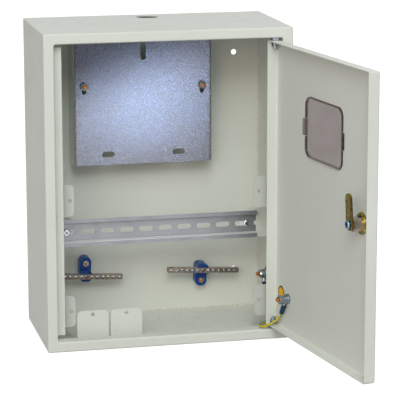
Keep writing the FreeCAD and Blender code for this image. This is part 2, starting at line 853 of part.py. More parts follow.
def insulator(name):
    """A rounded insulator: a column with a stud hole and an arched block with a seat for the bar."""
    body = new_body(name)
    seat_low = "-bar_height / 2 - insulator_play"
    seat_high = "bar_height / 2 + insulator_play"
    block_top = "-bar_back - insulator_notch"
    side_view = (
        ("-sheet", "-insulator_block"),
        (block_top, "-insulator_block"),
        (block_top, seat_low),
        ("-bar_back", seat_low),
        ("-bar_back", seat_high),
        (block_top, seat_high),
        (block_top, "insulator_block"),
        ("-sheet - insulator_base", "insulator_block"),
        ("-sheet - insulator_base", "insulator_stud_off + insulator_end"),
        ("-sheet", "insulator_stud_off + insulator_end"),
    )
    section = outline(body, name + "_side_view", "YZ_Plane", side_view)
    pad(body, name + "_width", section, "insulator_width", True)
    wide = value("insulator_width / 2")
    end = value("insulator_stud_off + insulator_end")
    block = value("insulator_block")
    round_edges(
        body,
        name + "_stud_end",
        "insulator_width / 2 - sheet / 2",
        lambda edge: corner_line(edge, wide, end) and edge.ZMin > 0,
    )
    round_edges(
        body,
        name + "_block_end",
        "insulator_round",
        lambda edge: corner_line(edge, wide, block),
    )
    hole = "insulator_stud_radius + thread_gap"
    hole_start = ("0", "-insulator_base - punch / 2", "insulator_stud_off")
    bore(body, name + "_stud_hole", hole, "insulator_base + punch / 2", hole_start, AXIS_Y)
    insert = "bar_fix_radius + thread_gap"
    insert_start = ("0", "-bar_back - sheet", "0")
    bore(body, name + "_insert", insert, "bar_back - insert_floor", insert_start, AXIS_Y)
    return body


ASKEW = FreeCAD.Rotation(AXIS_Y, 1)
place(insulator("left_insulator"), ("left_bar_x", "0", "bar_z"), ASKEW, "bar_lean")
place(insulator("right_insulator"), ("right_bar_x", "0", "bar_z"), ASKEW, "180 + bar_lean")


def terminal_bar(name, x):
    """A brass bar with wire holes from above, a clamp screw hole for each and a fixing hole."""
    body = new_body(name)
    solid_box(
        body,
        "Additive",
        name + "_stock",
        ("bar_length", "bar_deep", "bar_height"),
        ("-bar_length / 2", "-bar_back - bar_deep", "-bar_height / 2"),
    )
    bore(
        body,
        name + "_fixing_hole",
        "bar_fix_head + thread_gap",
        "bar_deep + 2 * sheet",
        ("0", "-bar_back - bar_deep - sheet", "0"),
        AXIS_Y,
    )
    wire_y = "-bar_back - wire_hole_back"
    for side, start in (("left", "-bar_pitch * bar_side_count"), ("right", "bar_pitch")):
        wire = bore(
            body,
            "%s_%s_wire_hole" % (name, side),
            "wire_hole_radius",
            "bar_height + 2 * sheet",
            (start, wire_y, "-bar_height / 2 - sheet"),
            AXIS_Z,
        )
        clamp = bore(
            body,
            "%s_%s_clamp_hole" % (name, side),
            "bar_screw_radius + thread_gap",
            "bar_deep - wire_hole_back + sheet",
            (start, "-bar_back - bar_deep - sheet", "0"),
            AXIS_Y,
        )
        span = "bar_pitch * (bar_side_count - 1)"
        repeat(body, "%s_%s_row" % (name, side), [wire, clamp], "X_Axis", span, "bar_side_count")
    return place(body, (x, "0", "bar_z"), ASKEW, "bar_lean")


bar_screw = group(
    "bar_screw_master",
    rod("bar_screw", "bar_screw_radius", "bar_screw_long", ("0", "bar_screw_sunk", "0"), AXIS_Y),
)
side_count = int(value("bar_side_count"))
steps = [step for step in range(-side_count, side_count + 1) if step != 0]
for side in ("left", "right"):
    terminal_bar(side + "_bar", side + "_bar_x")
    along = "%s_bar_x + %%d * bar_pitch * cos(bar_lean)" % side
    drop = "bar_z + %d * bar_pitch * sin(bar_lean)"
    row = [(along % step, "bar_front", drop % -step) for step in steps]
    copies(side + "_bar_screws", bar_screw, row)
bar_fix = join(
    "bar_fix",
    rod("bar_fix_cap", "bar_fix_head", "bar_fix_thick", ("0", "0", "0"), AXIS_Y),
    rod(
        "bar_fix_shank",
        "bar_fix_radius",
        "bar_deep - bar_fix_sunk + bar_fix_long",
        ("0", "0", "0"),
        AXIS_Y,
    ),
)
copies(
    "bar_fixing_screws",
    bar_fix,
    [(side + "_bar_x", "bar_front + bar_fix_sunk", "bar_z") for side in ("left", "right")],
)
insulator_stud = group(
    "insulator_stud_master",
    rod("insulator_stud", "insulator_stud_radius", "insulator_stud_long", ("0", "0", "0"), -AXIS_Y),
)
insulator_nut = cut(
    "insulator_nut",
    hexagon("insulator_nut_outside", "insulator_nut_flats", "insulator_nut_thick", ("0", "0", "0"), -AXIS_Y),
    rod(
        "insulator_nut_thread",
        "insulator_stud_radius + thread_gap",
        "insulator_nut_thick",
        ("0", "0", "0"),
        -AXIS_Y,
    ),
)
stud_spots = [
    ("left_bar_x + insulator_stud_off * sin(bar_lean)", "bar_z + insulator_stud_off * cos(bar_lean)"),
    ("right_bar_x - insulator_stud_off * sin(bar_lean)", "bar_z - insulator_stud_off * cos(bar_lean)"),
]
copies("insulator_studs", insulator_stud, [(x, "-sheet", z) for x, z in stud_spots])
copies("insulator_nuts", insulator_nut, [(x, "-sheet - insulator_base", z) for x, z in stud_spots])

# Door pan, in the closed door's frame: pivot axis at x 0, y 0, free edge towards -X
pan = new_body("door_pan")
solid_box(
    pan,
    "Additive",
    "pan_block",
    ("door_width", "door_flange", "door_height"),
    ("pivot_edge - door_width", "-pivot_face", "-door_height / 2"),
)
pan_back = value("door_flange - pivot_face")
round_edges(
    pan,
    "pan_bends",
    "door_bend",
    lambda edge: not (abs(edge.YMin - pan_back) < NEAR and edge.YLength < NEAR),
)
solid_box(
    pan,
    "Subtractive",
    "pan_inside",
    ("door_width - 2 * sheet", "door_flange", "door_height - 2 * sheet"),
    ("pivot_edge - door_width + sheet", "door_inside", "sheet - door_height / 2"),
)
pan_x = (value("pivot_edge + sheet - door_width"), value("pivot_edge - sheet"))
pan_z = value("door_height / 2 - sheet")
pan_y = (value("door_inside"), pan_back)
round_edges(
    pan,
    "pan_bends_inside",
    "door_bend - sheet",
    lambda edge: within(edge, pan_x, pan_y, (-pan_z, pan_z))
    and not (abs(edge.YMin - pan_back) < NEAR and edge.YLength < NEAR),
)
solid_box(
    pan,
    "Subtractive",
    "window_cut",
    ("window_width", "punch", "window_height"),
    (
        "-window_u - window_width / 2",
        "-pivot_face - punch / 2",
        "window_z - window_height / 2",
    ),
)
window_x = (value("-window_u - window_width / 2"), value("-window_u + window_width / 2"))
window_z = (value("window_z - window_height / 2"), value("window_z + window_height / 2"))
outer_face = value("-pivot_face")
round_edges(
    pan,
    "window_cut_corners",
    "window_corner",
    lambda edge: within(edge, window_x, (outer_face, value("door_inside")), window_z)
    and edge.XLength < NEAR
    and edge.ZLength < NEAR,
)
bore(
    pan,
    "lock_hole",
    "lock_barrel_radius + lock_hole_gap",
    "punch",
    ("-lock_u", "-pivot_face - punch / 2", "lock_z"),
    AXIS_Y,
)
for level, start in (("upper", "door_height / 2 - punch / 2"), ("lower", "-door_height / 2 - punch / 2")):
    bore(pan, level + "_pivot_hole", "pin_radius + pin_gap", "punch", ("0", "0", start), AXIS_Z)
on_door(pan)

# Pivot pins, their spacers and nuts, top and bottom
PIN_LOW = "door_height / 2 - sheet - pin_washer_thick - pin_nut_thick - pin_end"
PIN_HIGH = "open_half_z + sheet + pin_end"
FLANGE = "door_height / 2"
pins = {"hinge_pins": [], "hinge_spacers": [], "hinge_nuts": []}
for level, sign, up in (("upper", "", AXIS_Z), ("lower", "-", -AXIS_Z)):
    inner = "%s(%s)" % (sign, PIN_LOW)
    pins["hinge_pins"].append(
        rod(level + "_pin", "pin_radius", "(%s) - (%s)" % (PIN_HIGH, PIN_LOW), ("0", "0", inner), up)
    )
    flange = "%s(%s)" % (sign, FLANGE)
    washer_seat = "%s(%s - sheet - pin_washer_thick)" % (sign, FLANGE)
    rings = (
        ("_spacer", "spacer_radius", "door_gap_z - spacer_play", flange),
        ("_washer", "pin_washer_radius", "pin_washer_thick", washer_seat),
    )
    for kind, radius, thick, start in rings:
        ring = cut(
            level + kind,
            rod(level + kind + "_outside", radius, thick, ("0", "0", start), up),
            rod(level + kind + "_bore", "pin_radius + pin_gap", thick, ("0", "0", start), up),
        )
        pins["hinge_spacers"].append(ring)
    seat = "%s(%s - sheet - pin_washer_thick - pin_nut_thick)" % (sign, FLANGE)
    pins["hinge_nuts"].append(
        cut(
            level + "_nut",
            hexagon(level + "_nut_outside", "pin_nut_flats", "pin_nut_thick", ("0", "0", seat), up),
            rod(level + "_nut_thread", "pin_radius + pin_gap", "pin_nut_thick", ("0", "0", seat), up),
        )
    )
for name, solids in pins.items():
    on_door(group(name, *solids))

# Window pane: a flange outside the door, a plug in the cut-out and two hooks behind the sheet
pane = new_body("window_pane")
solid_box(
    pane,
    "Additive",
    "pane_flange",
    ("window_width + 2 * window_lap", "window_flange", "window_height + 2 * window_lap"),
    (
        "-window_u - window_width / 2 - window_lap",
        "-pivot_face - window_flange",
        "window_z - window_height / 2 - window_lap",
    ),
)
round_edges(
    pane,
    "pane_flange_corners",
    "window_corner + window_lap",
    lambda edge: edge.XLength < NEAR and edge.ZLength < NEAR,
)
solid_box(
    pane,
    "Additive",
    "pane_plug",
    (
        "window_width - 2 * window_gap",
        "window_joint + sheet + window_rise",
        "window_height - 2 * window_gap",
    ),
    (
        "-window_u - window_width / 2 + window_gap",
        "-pivot_face - window_joint",
        "window_z - window_height / 2 + window_gap",
    ),
)
plug_gap = value("window_gap")
plug_x = [window_x[0] + plug_gap, window_x[1] - plug_gap]
plug_z = [window_z[0] + plug_gap, window_z[1] - plug_gap]
solid_box(
    pane,
    "Subtractive",
    "pane_tray",
    (
        "window_width - 2 * window_gap - 2 * window_wall",
        "window_rise + punch / 2",
        "window_height - 2 * window_gap - 2 * window_wall",
    ),
    (
        "-window_u - window_width / 2 + window_gap + window_wall",
        "-pivot_face",
        "window_z - window_height / 2 + window_gap + window_wall",
    ),
)
wall = value("window_wall")
tray_x = [plug_x[0] + wall, plug_x[1] - wall]
tray_z = [plug_z[0] + wall, plug_z[1] - wall]
round_edges(
    pane,
    "pane_tray_corners",
    "window_corner - window_gap - window_wall",
    lambda edge: edge.XLength < NEAR
    and edge.ZLength < NEAR
    and within(edge, tray_x, (outer_face, 0), tray_z),
)
round_edges(
    pane,
    "pane_plug_corners",
    "window_corner - window_gap",
    lambda edge: edge.YLength > NEAR
    and any(abs(edge.XMin - x) < NEAR and edge.XLength < NEAR for x in plug_x)
    and any(abs(edge.ZMin - z) < NEAR and edge.ZLength < NEAR for z in plug_z),
)
HOOK_Y = "door_inside + hook_gap"
for side, reach, start in (
    ("hinge", "hook_reach", "-window_u + window_width / 2 - window_gap - sheet"),
    ("free", "hook_short", "-window_u - window_width / 2 + window_gap - hook_short"),
):
    solid_box(
        pane,
        "Additive",
        side + "_hook",
        (reach + " + sheet", "hook_thick", "hook_height"),
        (start, HOOK_Y, "hook_z - hook_height / 2"),
    )
for side, start in (
    ("hinge", "-window_u + window_width / 2 - window_gap - window_wall - sheet"),
    ("free", "-window_u - window_width / 2 + window_gap - sheet"),
):
    for level, low in (
        ("upper", "hook_z + hook_height / 2"),
        ("lower", "hook_z - hook_height / 2 - hook_relief"),
    ):
        solid_box(
            pane,
            "Subtractive",
            "%s_%s_relief" % (side, level),
            ("window_wall + 2 * sheet", "window_rise + punch / 2", "hook_relief"),
            (start, "-pivot_face", low),
        )
on_door(pane)

# Lock: a body through the door, its nut, and a turning plug with the cam
LOCK_BASE = ("-lock_u", "-pivot_face - lock_head_thick", "lock_z")
LOCK_LONG = "lock_head_thick + pivot_face + lock_barrel_end"
lock_blank = join(
    "lock_blank",
    rod("lock_head", "lock_head_radius", "lock_head_thick", LOCK_BASE, AXIS_Y),
    common(
        "lock_barrel",
        rod("lock_barrel_round", "lock_barrel_radius", LOCK_LONG, LOCK_BASE, AXIS_Y),
        box(
            "lock_barrel_flats",
            ("2 * lock_barrel_radius", LOCK_LONG, "lock_flats"),
            ("-lock_u - lock_barrel_radius", LOCK_BASE[1], "lock_z - lock_flats / 2"),
        ),
    ),
)
lock_bore = rod("lock_bore", "lock_bore_radius", LOCK_LONG, LOCK_BASE, AXIS_Y)
on_door(cut("lock_body", lock_blank, lock_bore))
NUT_BASE = ("-lock_u", "door_inside", "lock_z")
on_door(
    cut(
        "lock_nut",
        hexagon("lock_nut_outside", "lock_nut_flats", "lock_nut_thick", NUT_BASE, AXIS_Y),
        rod("lock_nut_thread", "lock_barrel_radius + lock_hole_gap", "lock_nut_thick", NUT_BASE, AXIS_Y),
    )
)
PLUG_START = "-pivot_face - lock_head_thick - plug_proud"
PLUG_BASE = ("0", PLUG_START, "0")
plug_blank = join(
    "plug_blank",
    rod("plug_round", "lock_bore_radius - plug_gap", "cam_face - (%s)" % PLUG_START, PLUG_BASE, AXIS_Y),
    box(
        "plug_square",
        ("cam_square", "cam_thick + sheet", "cam_square"),
        ("-cam_square / 2", "cam_face - sheet", "-cam_square / 2"),
    ),
)
plug_turned = cut(
    "plug_turned",
    plug_blank,
    box(
        "key_slot",
        ("key_slot_width", "key_slot_deep", "key_slot_height"),
        ("-key_slot_width / 2", PLUG_START, "-key_slot_height / 2"),
    ),
    rod(
        "plug_thread",
        "cam_screw_radius + thread_gap",
        "cam_screw_long",
        ("0", "cam_face + cam_thick", "0"),
        -AXIS_Y,
    ),
)
cam = new_body("cam_arm")
cam_outline = stadium(
    cam,
    "cam_outline",
    "XZ_Plane",
    ("0", "cam_reach / 2 - cam_width / 4"),
    "cam_reach + cam_width / 2",
    "cam_width",
    True,
)
cam_outline.setExpression("AttachmentOffset.Base.z", bound("-cam_face"))
pad(cam, "cam_plate", cam_outline, "cam_thick", False, True)
solid_box(
    cam,
    "Subtractive",
    "cam_hole",
    ("cam_square + 2 * cam_gap", "4 * cam_thick", "cam_square + 2 * cam_gap"),
    ("-cam_square / 2 - cam_gap", "cam_face - cam_thick", "-cam_square / 2 - cam_gap"),
)
screw_seat = ("0", "cam_face + cam_thick", "0")
cam_fixing = join(
    "cam_fixing",
    rod("cam_screw_cap", "cam_screw_head", "cam_screw_thick", screw_seat, AXIS_Y),
    rod("cam_screw_shank", "cam_screw_radius", "cam_screw_long - sheet", screw_seat, -AXIS_Y),
)
LOCK_AXIS = ("-lock_u", "0", "lock_z")
lean = FreeCAD.Rotation(AXIS_Y, 1)
for name, piece in (("lock_plug", plug_turned), ("lock_cam", cam), ("cam_screw", cam_fixing)):
    on_door(group(name, copy(name + "_turned", piece, LOCK_AXIS, lean, "cam_lean")))

# Earth bonding: studs on the side wall and on the door, made around the stud's own axis along +Y
ORIGIN = ("0", "0", "0")
LUG_Y = "earth_collar_thick"
WASHER_Y = LUG_Y + " + lug_thick"
SPRING_Y = WASHER_Y + " + earth_washer_thick"
thread = "earth_stud_radius + thread_gap"


def earth_ring(name, radius, thick, start):
    """A washer or collar around the stud."""
    base = ("0", start, "0")
    outside = rod(name + "_outside", radius, thick, base, AXIS_Y)
    return cut(name, outside, rod(name + "_bore", thread, thick, base, AXIS_Y))


def earth_nut(name, start):
    """A hexagon nut on the stud."""
    base = ("0", start, "0")
    return cut(
        name,
        hexagon(name + "_outside", "earth_nut_flats", "earth_nut_thick", base, AXIS_Y),
        rod(name + "_thread", thread, "earth_nut_thick", base, AXIS_Y),
    )


wall_stud = group(
    "wall_stud_master",
    rod("wall_stud", "earth_stud_radius", "wall_stud_long", ORIGIN, AXIS_Y),
)
door_stud = group(
    "door_stud_master",
    rod("door_stud", "earth_stud_radius", "door_stud_long", ORIGIN, AXIS_Y),
)
collar = earth_ring("earth_collar", "earth_collar_radius", "earth_collar_thick", ORIGIN[1])
washer = earth_ring("earth_washer", "earth_washer_radius", "earth_washer_thick", WASHER_Y)
spring = earth_ring("earth_spring", "earth_spring_radius", "earth_spring_thick", SPRING_Y)
wall_washers = group("wall_washers_master", collar, washer)
door_washers = group("door_washers_master", collar, washer, spring)
wall_nut = earth_nut("wall_nut", SPRING_Y)
door_nut = earth_nut("door_nut", SPRING_Y + " + earth_spring_thick")
BARREL_Y = LUG_Y + " + lug_barrel_lift"
lug_blank = join(
    "lug_blank",
    rod("lug_ring", "lug_radius", "lug_thick", ("0", LUG_Y, "0"), AXIS_Y),
    box(
        "lug_tongue",
        ("lug_neck", "lug_thick", "lug_barrel_start + sheet"),
        ("-lug_neck / 2", LUG_Y, "-lug_barrel_start - sheet"),
    ),
    rod(
        "lug_barrel",
        "lug_barrel_radius",
        "lug_barrel_end - lug_barrel_start",
        ("0", BARREL_Y, "-lug_barrel_start"),
        -AXIS_Z,
    ),
)
earth_lug = cut("earth_lug", lug_blank, rod("lug_hole", thread, "lug_thick", ("0", LUG_Y, "0"), AXIS_Y))
SLEEVE_BASE = ("0", BARREL_Y, "-sleeve_start")
sleeve = cut(
    "earth_sleeve",
    rod("sleeve_outside", "sleeve_radius", "sleeve_end - sleeve_start", SLEEVE_BASE, -AXIS_Z),
    rod(
        "sleeve_over_lug",
        "lug_barrel_radius + sleeve_gap",
        "lug_barrel_end - sleeve_start",
        SLEEVE_BASE,
        -AXIS_Z,
    ),
    rod(
        "sleeve_over_wire",
        "wire_radius + sleeve_gap",
        "sleeve_end - sleeve_start",
        SLEEVE_BASE,
        -AXIS_Z,
    ),
)
earth_pieces = (
    ("earth_stud", wall_stud, door_stud, False),
    ("earth_washers", wall_washers, door_washers, False),
    ("earth_nut", wall_nut, door_nut, False),
    ("earth_lug", earth_lug, earth_lug, True),
    ("earth_sleeve", sleeve, sleeve, True),
)
DOOR_STUD = ("-earth_door_u", "door_inside", "earth_door_z")
for name, at_wall, at_door, leaning in earth_pieces:
    tilt = "wall_lug_lean" if leaning else None
    on_wall(group("wall_" + name, copy("wall_%s_turned" % name, at_wall, ORIGIN, lean, tilt)))
    tilt = "-door_lug_lean" if leaning else None
    on_door(group("door_" + name, copy("door_%s_turned" % name, at_door, DOOR_STUD, lean, tilt)))
doc.recompute()


def wire_end(node, link_name):
    """Where a wire leaves its lug, and a point further along inside the sleeve."""
    frame = node.Placement.multiply(doc.getObject(link_name).Placement)
    start = FreeCAD.Vector(0, value(BARREL_Y), -value("lug_barrel_end"))
    further = FreeCAD.Vector(0, value(BARREL_Y), -value("sleeve_end + wire_straight"))
    return frame.multVec(start), frame.multVec(further)


def cord_path(points):
    """Straight runs joined by tangent arcs, with the radius of each arc."""
    edges = []
    radii = []
    last = points[0]
    for i in range(1, len(points) - 1):
        back = points[i - 1] - points[i]
        ahead = points[i + 1] - points[i]
        half_turn = (math.pi - back.getAngle(ahead)) / 2
        shorter = min(back.Length, ahead.Length)
        trim = BEND_SHARE * shorter
        radii.append(trim / math.tan(half_turn))
        first = points[i] + FreeCAD.Vector(back).normalize() * trim
        final = points[i] + FreeCAD.Vector(ahead).normalize() * trim
        towards = (FreeCAD.Vector(back).normalize() + FreeCAD.Vector(ahead).normalize()).normalize()
        centre_off = radii[-1] / math.cos(half_turn)
        top = points[i] + towards * (centre_off - radii[-1])
        edges.append(Part.LineSegment(last, first).toShape())
        edges.append(Part.Arc(first, top, final).toShape())
        last = final
    edges.append(Part.LineSegment(last, points[-1]).toShape())
    return Part.Wire(edges), radii


# Bonding wire: from the side wall's lug, under the lower tab and round the door's flange to its lug
# Its bends are placed from the cabinet's lower right front corner
CORNER = FreeCAD.Vector(value("case_width / 2"), value("-case_depth"), value("-case_height / 2"))
WIRE_BENDS = [
    CORNER + FreeCAD.Vector(-6.5, 77.0, 17.5),
    CORNER + FreeCAD.Vector(-12.0, 53.0, 12.5),
    CORNER + FreeCAD.Vector(-24.0, 27.0, 14.5),
    CORNER + FreeCAD.Vector(-39.5, 13.5, 15.9),
    CORNER + FreeCAD.Vector(-36.0, 0.8, 15.7),
    CORNER + FreeCAD.Vector(-26.5, -6.5, 22.5),
]
wall_start, wall_further = wire_end(doc.getObject("wall_earth_sleeve"), "wall_earth_sleeve_turned")
door_start, door_further = wire_end(doc.getObject("door_earth_sleeve"), "door_earth_sleeve_turned")
route = [wall_start, wall_further] + WIRE_BENDS + [door_further, door_start]
path, bend_radii = cord_path(route)
section = Part.Wire(Part.makeCircle(value("wire_radius"), route[0], route[1] - route[0]))
tube = path.makePipeShell([section], True, False)
wire = doc.addObject("Part::Feature", "earth_wire")
wire.Shape = tube
print("wire points", [tuple(round(number, 2) for number in point) for point in route])
print("wire bend radii", [round(radius, 1) for radius in bend_radii])
print("wire length", round(path.Length, 1))
ratio = tube.Volume / (math.pi * value("wire_radius") ** 2 * path.Length)
print("wire volume over section times length", round(ratio, 4))

NODES = [
    "cabinet_shell",
    "cabinet_top",
    "cabinet_bottom",
    "upper_left_tab",
    "lower_left_tab",
    "upper_right_tab",
    "lower_right_tab",
    "bottom_tab_one",
    "bottom_tab_two",
    "left_rail_bracket",
    "right_rail_bracket",
    "mounting_rail",
    "rail_screws",
    "meter_plate",
    "plate_studs",
    "plate_nuts",
    "left_insulator",
    "right_insulator",
    "left_bar",
    "right_bar",
    "left_bar_screws",
    "right_bar_screws",
    "bar_fixing_screws",
    "insulator_studs",
    "insulator_nuts",
    "wall_earth_stud",
    "wall_earth_washers",
    "wall_earth_nut",
    "wall_earth_lug",
    "wall_earth_sleeve",
    "earth_wire",
    "door_pan",
    "window_pane",
    "hinge_pins",
    "hinge_spacers",
    "hinge_nuts",
    "lock_body",
    "lock_nut",
    "door_earth_stud",
    "door_earth_washers",
    "door_earth_nut",
    "door_earth_lug",
    "door_earth_sleeve",
    "lock_plug",
    "lock_cam",
    "cam_screw",
]

doc.recompute()
for obj in doc.Objects:
    if "Invalid" in obj.State or "Error" in obj.State:
        raise ValueError("not rebuilt: %s %s" % (obj.Name, obj.State))
os.makedirs("parts", exist_ok=True)
for name in NODES:
    obj = doc.getObject(name)
    obj.Label = name
    shape = obj.Shape
    if shape.isNull() or not shape.isValid():
        raise ValueError("bad shape: " + name)
    shape.exportStep(os.path.join("parts", name + ".step"))
    box_size = shape.BoundBox
    print("%-20s solids %2d volume %10.1f" % (name, len(shape.Solids), shape.Volume), box_size)
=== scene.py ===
"""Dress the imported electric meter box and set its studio.

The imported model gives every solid. This script gives each node a procedural finish, models the threads,
nuts, screws, wire and discs that belong to the looks, and sets the light and the camera.

Sizes of the pieces are in millimetres and degrees, those of the studio in metres and radians.
"""
import logging
import math
from dataclasses import dataclass, field, replace
from enum import Enum
from typing import Dict, List, Optional, Sequence, Tuple

import bpy
from mathutils import Matrix, Vector

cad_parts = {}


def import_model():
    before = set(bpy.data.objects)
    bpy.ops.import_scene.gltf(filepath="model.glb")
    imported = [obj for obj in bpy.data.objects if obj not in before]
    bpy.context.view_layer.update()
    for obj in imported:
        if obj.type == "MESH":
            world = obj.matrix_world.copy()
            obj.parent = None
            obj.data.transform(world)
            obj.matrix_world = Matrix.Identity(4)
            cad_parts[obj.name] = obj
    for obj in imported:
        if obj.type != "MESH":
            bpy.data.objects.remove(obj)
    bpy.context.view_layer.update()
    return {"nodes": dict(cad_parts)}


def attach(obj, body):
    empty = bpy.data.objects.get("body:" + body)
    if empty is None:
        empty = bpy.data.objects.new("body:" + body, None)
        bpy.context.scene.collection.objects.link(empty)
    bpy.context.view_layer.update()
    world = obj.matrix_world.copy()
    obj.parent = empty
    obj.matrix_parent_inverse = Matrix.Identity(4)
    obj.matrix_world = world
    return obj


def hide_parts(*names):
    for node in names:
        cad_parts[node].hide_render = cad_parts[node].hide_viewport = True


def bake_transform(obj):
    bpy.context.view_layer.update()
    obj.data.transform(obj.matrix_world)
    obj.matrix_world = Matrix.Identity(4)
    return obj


LOG = logging.getLogger("meter_box")
Pair = Tuple[float, float]
Triple = Tuple[float, float, float]
Material = bpy.types.Material
Piece = bpy.types.Object
Socket = bpy.types.NodeSocket
Sockets = bpy.types.bpy_prop_collection
Group = bpy.types.NodeTree
Node = bpy.types.Node
Inputs = Dict[object, object]

MM = 0.001
WHITE: Triple = (1.0, 1.0, 1.0)
LINE_AXES = ("Along X", "Along Y", "Along Z")
# Places that several classes share, in millimetres, and the open door's angle in degrees
PIVOT: Triple = (133.5, -158.5, 0.0)
OPEN_ANGLE = 98.8
WALL_EARTH: Triple = (154.0, -46.0, -143.0)


def metres(point: Sequence[float]) -> List[float]:
    """Turn millimetres into metres."""
    return [part * MM for part in point]


class Body(Enum):
    """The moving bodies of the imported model."""

    CABINET = "cabinet"
    DOOR = "door"
    LOCK = "lock"


class Face(Enum):
    """A face inside the cabinet: the turn that points Z off it, and the turn's axis."""

    BACK = (math.pi / 2, "X")
    RIGHT_WALL = (-math.pi / 2, "Y")

    def spot(self, x: float, y: float, z: float) -> Matrix:
        """Give the matrix of a place in millimetres, with Z pointing off the face."""
        turn, axis = self.value
        return Matrix.Translation(metres((x, y, z))) @ Matrix.Rotation(turn, 4, axis)


class Tree:
    """A node tree with short calls for adding and joining nodes."""

    def __init__(self, tree: Group) -> None:
        """Take over a tree."""
        self.tree = tree

    def feed(self, socket: Socket, value: object) -> None:
        """Set an input or join it.

        Args:
            socket: The input.
            value: A number, a vector, a colour or the socket that feeds it.
        """
        if isinstance(value, Socket):
            self.tree.links.new(value, socket)
        elif socket.type == "RGBA":
            socket.default_value = (*value, 1.0)
        else:
            socket.default_value = value

    def add(self, kind: str, values: Optional[Inputs] = None, **settings: object) -> Node:
        """Add a node.

        Args:
            kind: The node's type name without its ShaderNode prefix.
            values: Socket names or numbers with their values or the sockets that feed them.
            settings: Attributes of the node itself.

        Returns:
            The new node.
        """
        node = self.tree.nodes.new("ShaderNode" + kind)
        for name, setting in settings.items():
            setattr(node, name, setting)
        for name, value in (values or {}).items():
            self.feed(node.inputs[name], value)
        return node

    def math(self, operation: str, *values: object) -> Socket:
        """Add a calculation with numbers or their sockets."""
        return self.add("Math", dict(enumerate(values)), operation=operation).outputs[0]

    def vector(self, operation: str, *values: object) -> Socket:
        """Add a calculation with vectors, which gives a number for a length or a product."""
        node = self.add("VectorMath", dict(enumerate(values)), operation=operation)
        return node.outputs["Value" if operation in ("LENGTH", "DOT_PRODUCT") else "Vector"]

    def place(self) -> Socket:
        """Give the place on the object."""
        return self.add("TexCoord").outputs["Object"]

    def facing(self, axis: str) -> Socket:
        """Tell how much a face looks along an axis."""
        return self.add("SeparateXYZ", {0: self.add("NewGeometry").outputs["Normal"]}).outputs[axis]

    def noise(
        self, scale: object, detail: float, where: Optional[Socket] = None, roughness: float = 0.5
    ) -> Node:
        """Add a cloudy pattern.

        Args:
            scale: Its scale or the socket that gives it.
            detail: How many finer layers it has.
            where: The place to read it at, if not the place on the object.
            roughness: The share of the finer layers.

        Returns:
            The pattern's node.
        """
        spot = self.place() if where is None else where
        values = {"Vector": spot, "Scale": scale, "Detail": detail, "Roughness": roughness}
        return self.add("TexNoise", values)

    def first_part(self, colour: Socket) -> Socket:
        """Give a colour's first part, as a number to choose by."""
        return self.add("SeparateColor", {"Color": colour}).outputs[0]

    def seen_white(self) -> Socket:
        """Tell the rays that show the room plain white.

        Returns:
            The socket that is one for camera, glossy and transmission rays.
        """
        path = self.add("LightPath")
        direct = self.math("MAXIMUM", path.outputs["Is Camera Ray"], path.outputs["Is Glossy Ray"])
        return self.math("MAXIMUM", direct, path.outputs["Is Transmission Ray"])

    def ramp(self, factor: Socket, low: float, high: float) -> Socket:
        """Stretch the values from low to high smoothly to nought to one."""
        values = {"Value": factor, "From Min": low, "From Max": high}
        return self.add("MapRange", values, interpolation_type="SMOOTHSTEP").outputs["Result"]

    def between(self, share: Socket, limits: Pair) -> Socket:
        """Give the value that lies at a share of the way between two limits."""
        return self.math("MULTIPLY_ADD", share, limits[1] - limits[0], limits[0])

    def blend(self, factor: Socket, first: object, second: object) -> Socket:
        """Mix two colours or their sockets, the factor being the second one's share."""
        return self.add("Mix", {0: factor, 6: first, 7: second}, data_type="RGBA").outputs[2]

    def stain(self, factor: Socket, share: float, under: object, over: object) -> Socket:
        """Lay a share of one colour over another where the factor says."""
        return self.blend(self.math("MULTIPLY", factor, share), under, over)

    def bump(self, height: Socket, strength: float, distance: float) -> Socket:
        """Give the normal of a face with fine relief."""
        values = {"Height": height, "Strength": strength, "Distance": distance}
        return self.add("Bump", values).outputs["Normal"]

    def group(self, effect: Group, values: Optional[Inputs] = None) -> Node:
        """Add one of the shared effects."""
        return self.add("Group", values, node_tree=effect)


